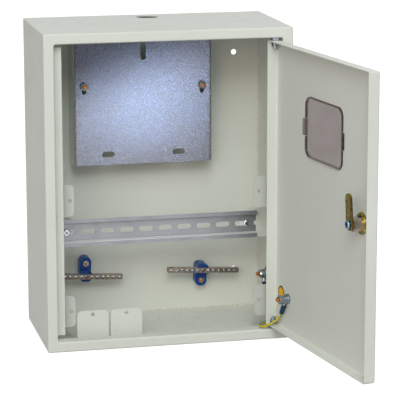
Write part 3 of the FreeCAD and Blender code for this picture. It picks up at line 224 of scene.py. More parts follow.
class Effects:
    """The node groups that several finishes share, each made once."""

    def __init__(self) -> None:
        """Make the groups."""
        self.peel = self._peel()
        self.dust = self._dust()
        self.spangle = self._spangle()
        self.drawn = self._drawn()
        self.smudge = self._smudge()

    @staticmethod
    def _new(
        name: str, inputs: Dict[str, float], outputs: Sequence[str], vectors: Sequence[str] = ()
    ) -> Tuple[Tree, Sockets, Sockets]:
        """Start a group.

        Args:
            name: The group's name.
            inputs: Its number inputs with their defaults.
            outputs: Its number outputs.
            vectors: Its vector outputs.

        Returns:
            The group's tree, what it is given and what it has to give, both by name.
        """
        group = bpy.data.node_groups.new(name, "ShaderNodeTree")
        for socket, default in inputs.items():
            made = group.interface.new_socket(socket, in_out="INPUT", socket_type="NodeSocketFloat")
            made.default_value = default
        for names, kind in ((outputs, "NodeSocketFloat"), (vectors, "NodeSocketVector")):
            for socket in names:
                group.interface.new_socket(socket, in_out="OUTPUT", socket_type=kind)
        given = group.nodes.new("NodeGroupInput").outputs
        wanted = group.nodes.new("NodeGroupOutput").inputs
        return Tree(group), given, wanted

    def _peel(self) -> Group:
        """Make the fine orange peel and slow tone of sprayed powder.

        Returns:
            A group that gives Height and Tone.
        """
        tree, given, wanted = self._new("orange_peel", {"Scale": 420.0}, ["Height", "Tone"])
        fine = tree.noise(given["Scale"], detail=2.0)
        slow = tree.noise(scale=9.0, detail=3.0)
        tree.feed(wanted["Height"], fine.outputs["Fac"])
        tree.feed(wanted["Tone"], tree.ramp(slow.outputs["Fac"], low=0.3, high=0.7))
        return tree.tree

    def _dust(self) -> Group:
        """Make fine dust that lies on faces that look up, and stray specks.

        Returns:
            A group that gives Lying and Specks.
        """
        tree, given, wanted = self._new("dust", {"Scale": 60.0}, ["Lying", "Specks"])
        level = tree.ramp(tree.facing("Z"), low=0.55, high=0.95)
        cloud = tree.noise(given["Scale"], detail=5.0)
        cloudy = tree.ramp(cloud.outputs["Fac"], low=0.42, high=0.75)
        dots = tree.add("TexVoronoi", {"Vector": tree.place(), "Scale": 150.0})
        near = tree.ramp(dots.outputs["Distance"], low=0.11, high=0.05)
        chosen = tree.ramp(tree.first_part(dots.outputs["Color"]), low=0.955, high=0.965)
        tree.feed(wanted["Lying"], tree.math("MULTIPLY", level, cloudy))
        tree.feed(wanted["Specks"], tree.math("MULTIPLY", near, chosen))
        return tree.tree

    def _spangle(self) -> Group:
        """Make the zinc crystals of dipped sheet.

        Returns:
            A group that gives Tone, Edge, Cloud and Normal.
        """
        warp = (0.0007, 0.0007, 0.0007)
        middle = (0.5, 0.5, 0.5)
        sizes = {"Scale": 260.0, "Lean": 0.1}
        tree, given, wanted = self._new("spangle", sizes, ["Tone", "Edge", "Cloud"], ["Normal"])
        moved = tree.vector("MULTIPLY", tree.noise(scale=190.0, detail=2.0).outputs["Color"], warp)
        grid = {"Vector": tree.vector("ADD", tree.place(), moved), "Scale": given["Scale"]}
        cells = tree.add("TexVoronoi", grid)
        borders = tree.add("TexVoronoi", grid, feature="DISTANCE_TO_EDGE")
        cloud = tree.noise(scale=16.0, detail=4.0)
        aside = {0: tree.vector("SUBTRACT", cells.outputs["Color"], middle), "Scale": given["Lean"]}
        lean = tree.add("VectorMath", aside, operation="SCALE").outputs[0]
        tilted = tree.vector("ADD", tree.add("NewGeometry").outputs["Normal"], lean)
        tree.feed(wanted["Normal"], tree.vector("NORMALIZE", tilted))
        tree.feed(wanted["Tone"], tree.first_part(cells.outputs["Color"]))
        tree.feed(wanted["Edge"], tree.ramp(borders.outputs["Distance"], low=0.10, high=0.0))
        tree.feed(wanted["Cloud"], tree.ramp(cloud.outputs["Fac"], low=0.3, high=0.7))
        return tree.tree

    def _drawn(self) -> Group:
        """Make the fine lines that drawing and rolling leave along a bar.

        Returns:
            A group that gives Lines.
        """
        scales = dict(zip(LINE_AXES, (30.0, 900.0, 900.0)))
        tree, given, wanted = self._new("drawn_lines", scales, ["Lines"])
        parts = {number: given[axis] for number, axis in enumerate(LINE_AXES)}
        where = tree.vector("MULTIPLY", tree.place(), tree.add("CombineXYZ", parts).outputs[0])
        lines = tree.noise(scale=1.0, detail=4.0, where=where)
        tree.feed(wanted["Lines"], lines.outputs["Fac"])
        return tree.tree

    def _smudge(self) -> Group:
        """Make faint handling marks.

        Returns:
            A group that gives Marks.
        """
        tree, given, wanted = self._new("smudge", {"Scale": 35.0}, ["Marks"])
        marks = tree.noise(given["Scale"], detail=6.0, roughness=0.65)
        tree.feed(wanted["Marks"], tree.ramp(marks.outputs["Fac"], low=0.35, high=0.75))
        return tree.tree


@dataclass(frozen=True)
class Finish:
    """A finish that turns into one material, with its lengths in metres."""

    name: str = "finish"

    def inputs(self, tree: Tree, effects: Effects) -> Inputs:
        """Work out what the shader takes.

        Args:
            tree: The material's nodes.
            effects: The shared node groups.

        Returns:
            The shader's inputs with their values or sockets.
        """
        raise NotImplementedError

    def make(self, effects: Effects) -> Material:
        """Make the material.

        Args:
            effects: The shared node groups.

        Returns:
            The finished material.
        """
        material = bpy.data.materials.new(self.name)
        material.use_nodes = True
        material.node_tree.nodes.clear()
        tree = Tree(material.node_tree)
        shader = tree.add("BsdfPrincipled", self.inputs(tree, effects))
        tree.add("OutputMaterial", {"Surface": shader.outputs[0]})
        return material


@dataclass(frozen=True)
class Seam:
    """An inside corner where dirt gathers: a point of it in metres, the axes across it, and how much."""

    line: Triple
    across: Triple
    share: float

    def near(self, tree: Tree, reach: Pair) -> Socket:
        """Mark the strip along the corner.

        Args:
            tree: The material's nodes.
            reach: How far the strip goes and where it is full, in metres.

        Returns:
            The socket that is one in the corner.
        """
        away = tree.vector("SUBTRACT", tree.place(), self.line)
        flat = tree.vector("MULTIPLY", away, self.across)
        return tree.ramp(tree.vector("LENGTH", flat), *reach)


@dataclass(frozen=True)
class PowderCoat(Finish):
    """Satin powder coat with orange peel, slow tone, dust, a few specks and dirt in the inside corners."""

    name: str = "powder_coat"
    light: Triple = (0.775, 0.782, 0.726)
    deep: Triple = (0.752, 0.760, 0.703)
    dirt: Triple = (0.42, 0.40, 0.34)
    dust_share: float = 0.10
    speck_share: float = 0.35
    rust: Triple = (0.44, 0.32, 0.19)
    seams: Tuple[Seam, ...] = (
        Seam(line=(0.0, -0.0018, -0.1957), across=(0.0, 1.0, 1.0), share=0.45),
        Seam(line=(0.1532, -0.0018, 0.0), across=(1.0, 1.0, 0.0), share=0.28),
    )
    seam_reach: Pair = (0.0016, 0.0011)
    patch_scale: float = 420.0
    patches: Pair = (0.36, 0.64)
    roughness: Pair = (0.40, 0.50)
    shine: float = 0.06
    index: float = 1.5
    bump: float = 0.05
    relief: float = 0.0004

    def inputs(self, tree: Tree, effects: Effects) -> Inputs:
        """Work out what the shader takes.

        Args:
            tree: The material's nodes.
            effects: The shared node groups.

        Returns:
            The shader's inputs with their values or sockets.
        """
        peel = tree.group(effects.peel)
        dust = tree.group(effects.dust)
        marks = tree.group(effects.smudge).outputs["Marks"]
        colour = tree.blend(peel.outputs["Tone"], self.light, self.deep)
        colour = tree.stain(dust.outputs["Lying"], self.dust_share, colour, self.dirt)
        colour = tree.stain(dust.outputs["Specks"], self.speck_share, colour, self.dirt)
        patchy = tree.ramp(tree.noise(self.patch_scale, detail=3.0).outputs["Fac"], *self.patches)
        for seam in self.seams:
            spots = tree.math("MULTIPLY", seam.near(tree, self.seam_reach), patchy)
            colour = tree.stain(spots, seam.share, colour, self.rust)
        return {
            "Base Color": colour,
            "Roughness": tree.between(marks, self.roughness),
            "Normal": tree.bump(peel.outputs["Height"], self.bump, self.relief),
            "IOR": self.index,
            "Specular IOR Level": self.shine,
        }


@dataclass(frozen=True)
class Galvanised(Finish):
    """Dipped zinc with crystals that catch the light, a painted reflection of the pale walls on its bent
    sides and painted shade towards its upper left.
    """

    name: str = "galvanised"
    light: Triple = (0.255, 0.262, 0.295)
    deep: Triple = (0.180, 0.184, 0.212)
    stain: Triple = (0.215, 0.175, 0.185)
    stain_share: float = 0.25
    # Painted shade: the dull colour darkens the plate towards its upper left, where the box's top shades
    # it.
    dull: Triple = (0.030, 0.029, 0.034)
    painted_shade_share: float = 0.9
    towards: Triple = (-0.30, 0.0, 0.82)
    painted_shade_fade: Pair = (0.075, 0.150)
    # Painted reflection: the pale paint of the walls, laid on the sides that face along X.
    side: Triple = (0.62, 0.635, 0.60)
    painted_reflection_facing: Pair = (0.2, 0.6)
    roughness: Pair = (0.24, 0.34)
    metal: float = 0.85
    scale: float = 1200.0
    lean: float = 0.032

    def inputs(self, tree: Tree, effects: Effects) -> Inputs:
        """Work out what the shader takes.

        Args:
            tree: The material's nodes.
            effects: The shared node groups.

        Returns:
            The shader's inputs with their values or sockets.
        """
        zinc = tree.group(effects.spangle, {"Scale": self.scale, "Lean": self.lean}).outputs
        colour = tree.blend(zinc["Tone"], self.deep, self.light)
        for marks in ("Edge", "Cloud"):
            colour = tree.stain(zinc[marks], self.stain_share, colour, self.stain)
        # Painted shade: how far a point lies towards the shaded upper left of the plate.
        corner = tree.vector("DOT_PRODUCT", tree.place(), self.towards)
        colour = tree.stain(tree.ramp(corner, *self.painted_shade_fade), self.painted_shade_share, colour, self.dull)
        # Painted reflection of the walls on the sides that face along X.
        painted_reflection = tree.ramp(tree.math("ABSOLUTE", tree.facing("X")), *self.painted_reflection_facing)
        return {
            "Base Color": tree.blend(painted_reflection, colour, self.side),
            "Metallic": self.metal,
            "Roughness": tree.between(zinc["Tone"], self.roughness),
            "Normal": zinc["Normal"],
        }


@dataclass(frozen=True)
class Plated(Finish):
    """A plated metal with a slow change of tint, fine lines, and dust with a painted top light on the faces
    that look up.
    """

    name: str = "zinc"
    first: Triple = (0.42, 0.46, 0.495)
    second: Triple = (0.22, 0.25, 0.285)
    dull: Triple = (0.10, 0.10, 0.115)
    roughness: Pair = (0.14, 0.28)
    tint_scale: float = 240.0
    lines: Triple = (500.0, 500.0, 500.0)
    wear: Pair = (0.62, 0.85)
    metal: float = 1.0
    # Dust and painted top light: a paler, less metallic tone on the faces that look up.
    dust_and_top_light: float = 0.0
    dust_and_top_light_tone: Triple = (0.80, 0.81, 0.80)
    level: Pair = (0.3, 0.8)
    bump: float = 0.04
    relief: float = 0.0002

    def inputs(self, tree: Tree, effects: Effects) -> Inputs:
        """Work out what the shader takes.

        Args:
            tree: The material's nodes.
            effects: The shared node groups.

        Returns:
            The shader's inputs with their values or sockets.
        """
        tint = tree.group(effects.smudge, {"Scale": self.tint_scale}).outputs["Marks"]
        lines = tree.group(effects.drawn, dict(zip(LINE_AXES, self.lines))).outputs["Lines"]
        plate = tree.blend(tint, self.first, self.second)
        colour = tree.blend(tree.ramp(lines, *self.wear), plate, self.dull)
        metal: object = self.metal
        if self.dust_and_top_light:
            # Dust and painted top light on the faces that look up.
            dust_and_top_light_mask = tree.math("MULTIPLY", tree.ramp(tree.facing("Z"), *self.level), self.dust_and_top_light)
            colour = tree.blend(dust_and_top_light_mask, colour, self.dust_and_top_light_tone)
            metal = tree.math("MULTIPLY", tree.math("SUBTRACT", 1.0, dust_and_top_light_mask), self.metal)
        return {
            "Base Color": colour,
            "Metallic": metal,
            "Roughness": tree.between(lines, self.roughness),
            "Normal": tree.bump(lines, self.bump, self.relief),
        }


@dataclass(frozen=True)
class Plastic(Finish):
    """Moulded, shrunk or printed plastic with faint mottling and, where it has relief, a fine grain."""

    name: str = "plastic"
    light: Triple = (0.05, 0.07, 0.32)
    deep: Triple = (0.02, 0.03, 0.20)
    roughness: Pair = (0.22, 0.42)
    shine: float = 0.22
    mark_scale: float = 140.0
    grain_scale: float = 900.0
    bump: float = 0.04
    relief: float = 0.0003

    def inputs(self, tree: Tree, effects: Effects) -> Inputs:
        """Work out what the shader takes.

        Args:
            tree: The material's nodes.
            effects: The shared node groups.

        Returns:
            The shader's inputs with their values or sockets.
        """
        marks = tree.group(effects.smudge, {"Scale": self.mark_scale}).outputs["Marks"]
        taken = {
            "Base Color": tree.blend(marks, self.light, self.deep),
            "Roughness": tree.between(marks, self.roughness),
            "Specular IOR Level": self.shine,
        }
        if self.bump:
            grain = tree.group(effects.peel, {"Scale": self.grain_scale}).outputs["Height"]
            taken["Normal"] = tree.bump(grain, self.bump, self.relief)
        return taken


@dataclass(frozen=True)
class SmokePane(Finish):
    """Clear smoky plastic with painted shade along its moulded wall and a painted highlight on its narrow
    edges, with the tray's sizes in millimetres.
    """

    name: str = "smoke_pane"
    light: Triple = (0.265, 0.233, 0.222)
    deep: Triple = (0.240, 0.211, 0.202)
    # Painted shade along the moulded wall.
    wall: Triple = (0.115, 0.086, 0.074)
    # Painted highlight on the narrow edges past the gap, on the hinge side and on the front.
    edge: Triple = (0.58, 0.53, 0.48)
    roughness: Pair = (0.06, 0.12)
    mark_scale: float = 30.0
    index: float = 1.49
    centre: Pair = (-131.5, 87.0)
    half: Pair = (50.45, 36.45)
    corner: float = 11.2
    wall_thick: float = 1.0
    gap: float = 0.9
    steel_outside: float = -6.4

    def _outline(self, tree: Tree) -> Tuple[Socket, Socket, Socket]:
        """Find how far a point is outside the plug's outline.

        Args:
            tree: The material's nodes.

        Returns:
            The distance in metres, the place along the door and the depth.
        """
        on_door = {
            "Vector": tree.place(),
            "Location": metres(PIVOT),
            "Rotation": (0.0, 0.0, math.radians(OPEN_ANGLE)),
        }
        turned = tree.add("Mapping", on_door, vector_type="TEXTURE")
        parts = tree.add("SeparateXYZ", {"Vector": turned.outputs[0]}).outputs
        beyond = []
        for axis, middle, half in zip(("X", "Z"), self.centre, self.half):
            away = tree.math("ABSOLUTE", tree.math("SUBTRACT", parts[axis], middle * MM))
            beyond.append(tree.math("SUBTRACT", away, (half - self.corner) * MM))
        squares = [tree.math("POWER", tree.math("MAXIMUM", side, 0.0), 2.0) for side in beyond]
        outside = tree.math("SQRT", tree.math("ADD", *squares))
        inside = tree.math("MINIMUM", tree.math("MAXIMUM", *beyond), 0.0)
        distance = tree.math("SUBTRACT", tree.math("ADD", outside, inside), self.corner * MM)
        return distance, parts["X"], parts["Y"]

    def inputs(self, tree: Tree, effects: Effects) -> Inputs:
        """Work out what the shader takes.

        Args:
            tree: The material's nodes.
            effects: The shared node groups.

        Returns:
            The shader's inputs with their values or sockets.
        """
        marks = tree.group(effects.smudge, {"Scale": self.mark_scale}).outputs["Marks"]
        distance, along, depth = self._outline(tree)
        # Painted shade in the wall; painted highlight past the gap on the hinge side and on the front.
        painted_shade_wall = tree.math("GREATER_THAN", distance, -self.wall_thick * MM)
        past_gap = tree.math("GREATER_THAN", distance, self.gap * MM)
        hinge_side = tree.math("GREATER_THAN", along, self.centre[0] * MM)
        on_front = tree.math("LESS_THAN", depth, self.steel_outside * MM)
        painted_highlight_edge = tree.math("MULTIPLY", past_gap, tree.math("MAXIMUM", hinge_side, on_front))
        pane = tree.blend(painted_shade_wall, tree.blend(marks, self.light, self.deep), self.wall)
        return {
            "Base Color": tree.blend(painted_highlight_edge, pane, self.edge),
            "Roughness": tree.between(marks, self.roughness),
            "Transmission Weight": 1.0,
            "IOR": self.index,
        }


@dataclass(frozen=True)
class Chromated(Finish):
    """Yellow passivated zinc with streaks of gold, green and rust."""

    name: str = "yellow_zinc"
    tints: Tuple[Triple, ...] = (
        (0.20, 0.090, 0.050),
        (0.28, 0.205, 0.030),
        (0.40, 0.305, 0.055),
        (0.15, 0.225, 0.055),
    )
    bands: Tuple[Pair, ...] = ((0.05, 0.40), (0.40, 0.65), (0.70, 0.95))
    streaks: Triple = (190.0, 190.0, 16.0)
    spread: Pair = (0.34, 0.74)
    mark_scale: float = 260.0
    mark_share: float = 0.12
    roughness: Pair = (0.22, 0.36)
    metal: float = 0.85

    def inputs(self, tree: Tree, effects: Effects) -> Inputs:
        """Work out what the shader takes.

        Args:
            tree: The material's nodes.
            effects: The shared node groups.

        Returns:
            The shader's inputs with their values or sockets.
        """
        lines = tree.group(effects.drawn, dict(zip(LINE_AXES, self.streaks))).outputs["Lines"]
        marks = tree.group(effects.smudge, {"Scale": self.mark_scale}).outputs["Marks"]
        where = tree.ramp(tree.math("MULTIPLY_ADD", marks, self.mark_share, lines), *self.spread)
        colour: object = self.tints[0]
        for band, tint in zip(self.bands, self.tints[1:]):
            colour = tree.blend(tree.ramp(where, *band), colour, tint)
        return {
            "Base Color": colour,
            "Metallic": self.metal,
            "Roughness": tree.between(marks, self.roughness),
        }


@dataclass(frozen=True)
class StripedWire(Finish):
    """Yellow insulation with two green stripes that run along the wire."""

    name: str = "wire_yellow_green"
    yellow: Triple = (0.86, 0.58, 0.01)
    green: Triple = (0.02, 0.26, 0.09)
    share: float = 0.27
    ragged: float = 0.03
    mark_scale: float = 200.0
    roughness: Pair = (0.40, 0.52)
    shine: float = 0.25

    def inputs(self, tree: Tree, effects: Effects) -> Inputs:
        """Work out what the shader takes.

        Args:
            tree: The material's nodes.
            effects: The shared node groups.

        Returns:
            The shader's inputs with their values or sockets.
        """
        half = 0.5
        around = tree.add("Attribute", attribute_name="around", attribute_type="GEOMETRY").outputs["Fac"]
        marks = tree.group(effects.smudge, {"Scale": self.mark_scale}).outputs["Marks"]
        away = tree.math("ABSOLUTE", tree.math("SUBTRACT", around, half))
        edge = tree.math("MULTIPLY_ADD", marks, self.ragged, half - self.share)
        return {
            "Base Color": tree.blend(tree.math("GREATER_THAN", away, edge), self.yellow, self.green),
            "Roughness": tree.between(marks, self.roughness),
            "Specular IOR Level": self.shine,
        }


@dataclass(frozen=True)
class Floor(Finish):
    """A plain pale floor that the camera sees as white, apart from the object's shadow."""

    name: str = "floor"
    paint: Triple = (0.42, 0.42, 0.41)
    paler: float = 1.02
    tone_scale: float = 40.0
    roughness: float = 0.9
    glow: float = 0.86

    def inputs(self, tree: Tree, effects: Effects) -> Inputs:
        """Work out what the shader takes.

        Args:
            tree: The material's nodes.
            effects: The shared node groups.

        Returns:
            The shader's inputs with their values or sockets.
        """
        tone = tree.group(effects.peel, {"Scale": self.tone_scale}).outputs["Tone"]
        pale = tuple(part * self.paler for part in self.paint)
        return {
            "Base Color": tree.blend(tone, self.paint, pale),
            "Roughness": self.roughness,
            "Specular IOR Level": 0.0,
            "Emission Color": WHITE,
            "Emission Strength": tree.math("MULTIPLY", tree.seen_white(), self.glow),
        }


class Workshop:
    """Modelling steps that the pieces share."""

    smooth_angle = 35.0

    @staticmethod
    def clear() -> None:
        """Select nothing."""
        bpy.ops.object.select_all(action="DESELECT")

    @classmethod
    def only(cls, *pieces: Piece) -> None:
        """Select some pieces and make the first one active.

        Args:
            pieces: The pieces to select.
        """
        cls.clear()
        for piece in pieces:
            piece.select_set(True)
        bpy.context.view_layer.objects.active = pieces[0]

    @classmethod
    def cylinder(cls, radius: float, low: float, high: float, sides: int = 48) -> Piece:
        """Make an upright cylinder or prism.

        Args:
            radius: Its radius to the corners, in millimetres.
            low: Where it starts along Z.
            high: Where it ends along Z.
            sides: How many sides it has.

        Returns:
            The cylinder.
        """
        cls.clear()
        bpy.ops.mesh.primitive_cylinder_add(
            vertices=sides,
            radius=radius * MM,
            depth=(high - low) * MM,
            location=(0, 0, (low + high) / 2 * MM),
        )
        bpy.ops.object.transform_apply()
        return bpy.context.object

    @classmethod
    def block(cls, size: Triple, height: float, turn: float = 0.0) -> Piece:
        """Make a block on the Z axis.

        Args:
            size: Its three lengths in millimetres.
            height: Its middle's height.
            turn: How far it is turned about Z, in radians.

        Returns:
            The block.
        """
        cls.clear()
        bpy.ops.mesh.primitive_cube_add(size=1.0, location=(0, 0, height * MM), rotation=(0, 0, turn))
        piece = bpy.context.object
        piece.scale = metres(size)
        bpy.ops.object.transform_apply()
        return piece

    @staticmethod
    def coat(piece: Piece, materials: Sequence[Material], chosen: int = 0) -> None:
        """Give a piece its materials, with one of them on all its faces.

        Args:
            piece: The piece.
            materials: Its materials in order.
            chosen: The number of the one that its faces take.
        """
        for material in materials:
            piece.data.materials.append(material)
        for face in piece.data.polygons:
            face.material_index = chosen

    @classmethod
    def change(cls, piece: Piece, kind: str, **settings: object) -> None:
        """Apply a modifier to a piece.

        Args:
            piece: The piece.
            kind: The modifier's type.
            settings: Its attributes.
        """
        cls.only(piece)
        step = piece.modifiers.new(kind.lower(), kind)
        for name, setting in settings.items():
            setattr(step, name, setting)
        bpy.ops.object.modifier_apply(modifier=step.name)

    @classmethod
    def combine(cls, piece: Piece, tool: Piece, operation: str = "DIFFERENCE") -> Piece:
        """Cut a piece with a tool, or keep only what both share.

        Args:
            piece: The piece that stays.
            tool: The tool, which is used up.
            operation: DIFFERENCE or INTERSECT.

        Returns:
            The piece.
        """
        cls.change(piece, "BOOLEAN", operation=operation, solver="EXACT", object=tool)
        bpy.data.objects.remove(tool)
        return piece

    @classmethod
    def soften(cls, piece: Piece, width: float, segments: int = 2, angle: float = 60.0) -> None:
        """Round the sharp edges of a piece.

        Args:
            piece: The piece.
            width: The rounding's width in millimetres.
            segments: How many faces the rounding has.
            angle: The smallest turn that counts as sharp, in degrees.
        """
        limit = {"limit_method": "ANGLE", "angle_limit": math.radians(angle)}
        cls.change(piece, "BEVEL", width=width * MM, segments=segments, **limit)

    @classmethod
    def join(cls, pieces: Sequence[Piece]) -> Piece:
        """Join pieces into the first of them.

        Args:
            pieces: The pieces to join.

        Returns:
            The joined piece.
        """
        cls.only(*pieces)
        if len(pieces) > 1:
            bpy.ops.object.join()
        return pieces[0]

    @classmethod
    def copies(cls, piece: Piece, places: Sequence[Matrix]) -> Piece:
        """Set copies of a piece at their places and join them.

        Args:
            piece: The piece, which becomes the first copy.
            places: Where each copy goes.

        Returns:
            The joined copies, at the origin and unturned.
        """
        made = [piece]
        for _ in places[1:]:
            cls.only(piece)
            bpy.ops.object.duplicate()
            made.append(bpy.context.object)
        for copy, place in zip(made, places):
            copy.matrix_world = place
        cls.only(*made)
        bpy.ops.object.transform_apply()
        return cls.join(made)

    @classmethod
    def finish(cls, piece: Piece, name: str, material: Material, body: Body) -> None:
        """Name a piece, give it its finish and let it ride on its body.

        Args:
            piece: The piece.
            name: Its name.
            material: Its material, if it has none of its own yet.
            body: The body that carries it.
        """
        cls.only(piece)
        bpy.ops.object.shade_smooth_by_angle(angle=math.radians(cls.smooth_angle))
        piece.name = name
        piece.data.name = name
        if not piece.data.materials:
            piece.data.materials.append(material)
        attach(piece, body.value)
        LOG.info("piece %s on %s, %d faces", name, body.value, len(piece.data.polygons))


@dataclass
class DoorFrame:
    """The door's own frame: pivot axis at its origin, door closed, free edge towards -X."""

    pivot_face: float = 6.5
    sheet: float = 1.0

    def matrix(self) -> Matrix:
        """Give the matrix from the door's frame at rest to the scene, in metres."""
        return Matrix.Translation(metres(PIVOT)) @ Matrix.Rotation(math.radians(OPEN_ANGLE), 4, "Z")

    def on_inside(self, u: float, z: float, lift: float = 0.0) -> Matrix:
        """Find a place on the door's inner face with Z pointing off the face.

        Args:
            u: Distance from the pivot axis along the door.
            z: Height.
            lift: Distance off the face.

        Returns:
            The place's matrix.
        """
        spot = Matrix.Translation(metres((-u, self.sheet - self.pivot_face + lift, z)))
        return self.matrix() @ spot @ Matrix.Rotation(-math.pi / 2, 4, "X")


@dataclass(frozen=True)
class Nut:
    """A hexagon nut with turned corners and a thread's mouth."""

    flats: float
    thick: float
    bore: float
    start: float = 0.0
    turned: float = 1.15
    slack: float = 1.002
    edge: float = 0.25
    edge_share: float = 0.06
    edge_angle: float = 50.0
    margin: float = 1.0

    def build(self) -> Piece:
        """Model the nut along Z.

        Returns:
            The nut.
        """
        corner = self.flats / math.sqrt(3)
        end = self.start + self.thick
        nut = Workshop.cylinder(corner, self.start, end, sides=6)
        rounded = Workshop.cylinder(corner * self.slack, self.start, end, sides=64)
        Workshop.soften(rounded, (corner - self.flats / 2) * self.turned, segments=1)
        Workshop.combine(nut, rounded, "INTERSECT")
        Workshop.combine(nut, Workshop.cylinder(self.bore, self.start - self.margin, end + self.margin))
        Workshop.soften(nut, min(self.edge, self.thick * self.edge_share), angle=self.edge_angle)
        return nut


@dataclass(frozen=True)
class Stud:
    """A threaded stud with a pointed end."""

    radius: float
    length: float
    pitch: float = 0.8
    depth_share: float = 0.55
    ridge_share: float = 0.62
    plain_turns: float = 2.2
    steps: int = 24

    def build(self) -> Piece:
        """Model the stud along Z.

        Returns:
            The stud.
        """
        depth = self.pitch * self.depth_share
        ridge = self.pitch * self.ridge_share
        core = Workshop.cylinder(self.radius - depth, 0.0, self.length, sides=32)
        Workshop.soften(core, depth)
        Workshop.clear()
        bpy.ops.mesh.primitive_circle_add(
            vertices=3,
            radius=ridge * MM,
            location=((self.radius - ridge) * MM, 0, self.pitch * MM),
            rotation=(math.pi / 2, math.pi / 2, 0),
        )
        thread = bpy.context.object
        bpy.ops.object.transform_apply()
        Workshop.change(
            thread,
            "SCREW",
            axis="Z",
            steps=self.steps,
            render_steps=self.steps,
            screw_offset=self.pitch * MM,
            iterations=int((self.length - self.plain_turns * self.pitch) / self.pitch),
            use_normal_calculate=True,
        )
        return Workshop.join([core, thread])


@dataclass(frozen=True)
class Screw:
    """A domed screw head with a cross drive, and a plain shank below it."""

    head: float
    thick: float
    shank: float
    long: float
    dome: float = 0.55
    blade_long: float = 1.2
    blade_wide: float = 0.2
    overlap: float = 0.05
    tip: float = 0.3

    def build(self, metal: Material, recess_shade: Material) -> Piece:
        """Model the screw along Z, the head's seat at the origin.

        Args:
            metal: The screw's material.
            recess_shade: The near-black material of the drive's walls, painted shade.

        Returns:
            The screw.
        """
        head = Workshop.cylinder(self.head, 0.0, self.thick)
        Workshop.coat(head, (metal, recess_shade))
        Workshop.soften(head, self.thick * self.dome, segments=5)
        size = (self.head * self.blade_long, self.head * self.blade_wide, self.thick)
        for turn in (math.pi / 4, -math.pi / 4):
            blade = Workshop.block(size, self.thick, turn)
            Workshop.coat(blade, (metal, recess_shade), 1)
            Workshop.combine(head, blade)
        shank = Workshop.cylinder(self.shank, -self.long, self.overlap, sides=24)
        Workshop.coat(shank, (metal, recess_shade))
        Workshop.soften(shank, self.shank * self.tip, segments=1)
        return Workshop.join([head, shank])


@dataclass(frozen=True)
class GrubScrew:
    """A headless slotted screw that sits below the face it is screwed into."""

    radius: float
    long: float
    sunk: float
    slot: float = 0.7
    blade_long: float = 3.0
    blade_deep: float = 0.7
    rim: float = 0.45
    shaded_slopes: Pair = (0.1, 0.95)

    def build(self, metal: Material, recess_shade: Material) -> Piece:
        """Model the screw along Z, the face at the origin.

        Args:
            metal: The screw's material.
            recess_shade: The near-black material of the slot and of the sloping rim, painted shade.

        Returns:
            The screw.
        """
        screw = Workshop.cylinder(self.radius, -self.sunk - self.long, -self.sunk, sides=40)
        Workshop.coat(screw, (metal, recess_shade))
        Workshop.soften(screw, self.rim)
        # Painted shade: the sloping rim takes the near-black material.
        for face in screw.data.polygons:
            face.material_index = int(self.shaded_slopes[0] < face.normal.z < self.shaded_slopes[1])
        size = (self.radius * self.blade_long, self.slot, self.long * self.blade_deep)
        blade = Workshop.block(size, -self.sunk)
        Workshop.coat(blade, (metal, recess_shade), 1)
        return Workshop.combine(screw, blade)


@dataclass
class Paint:
    """The materials, made once from their finishes."""

    effects: Effects = field(default_factory=Effects)
    made: Dict[str, Material] = field(default_factory=dict)

    def of(self, finish: Finish) -> Material:
        """Give the material of a finish.

        Args:
            finish: The finish.

        Returns:
            Its material.
        """
        if finish.name not in self.made:
            self.made[finish.name] = finish.make(self.effects)
        return self.made[finish.name]


POWDER = PowderCoat()
# Painted shade: the side tabs' paint is darker than the cabinet's, for the shade of the rims.
SHADED_TAB_COAT = PowderCoat(name="shaded_tab_coat", light=(0.655, 0.661, 0.614), deep=(0.635, 0.642, 0.594))
ZINC_SHEET = Galvanised()
RAIL_ZINC = Plated(
    name="rail_zinc",
    first=(0.345, 0.35, 0.38),
    second=(0.29, 0.295, 0.32),
    dull=(0.21, 0.21, 0.235),
    metal=0.5,
    roughness=(0.16, 0.26),
    tint_scale=45.0,
    lines=(10.0, 260.0, 260.0),
    # Dust and painted top light on the rail's faces that look up.
    dust_and_top_light=0.85,
)
ZINC = Plated()
NUT_ZINC = Plated(
    name="nut_zinc",
    first=(0.15, 0.19, 0.20),
    second=(0.06, 0.09, 0.10),
    dull=(0.03, 0.035, 0.04),
    roughness=(0.30, 0.45),
)
SCREW_ZINC = Plated(
    name="screw_zinc",
    first=(0.66, 0.72, 0.78),
    second=(0.46, 0.52, 0.59),
    dull=(0.22, 0.23, 0.25),
)
COPPER = Plated(
    name="copper_plate",
    first=(0.58, 0.20, 0.05),
    second=(0.40, 0.11, 0.02),
    dull=(0.17, 0.045, 0.014),
    roughness=(0.28, 0.45),
)
BRASS = Plated(
    name="brass_bar",
    first=(0.34, 0.265, 0.21),
    second=(0.23, 0.17, 0.135),
    dull=(0.10, 0.07, 0.055),
    roughness=(0.28, 0.45),
    tint_scale=60.0,
    lines=(40.0, 1500.0, 1500.0),
    # Dust and painted top light on the bars' top faces.
    dust_and_top_light=0.4,
    dust_and_top_light_tone=(0.55, 0.47, 0.40),
)
YELLOW_ZINC = Chromated()
NICKEL = Plated(
    name="nickel",
    first=(0.62, 0.54, 0.49),
    second=(0.44, 0.37, 0.33),
    dull=(0.10, 0.08, 0.07),
    roughness=(0.16, 0.28),
    lines=(420.0, 90.0, 90.0),
)
BLUE_ZINC = Plated(
    name="blue_zinc",
    first=(0.24, 0.42, 0.62),
    second=(0.06, 0.17, 0.34),
    dull=(0.03, 0.06, 0.11),
    roughness=(0.12, 0.22),
    tint_scale=300.0,
)
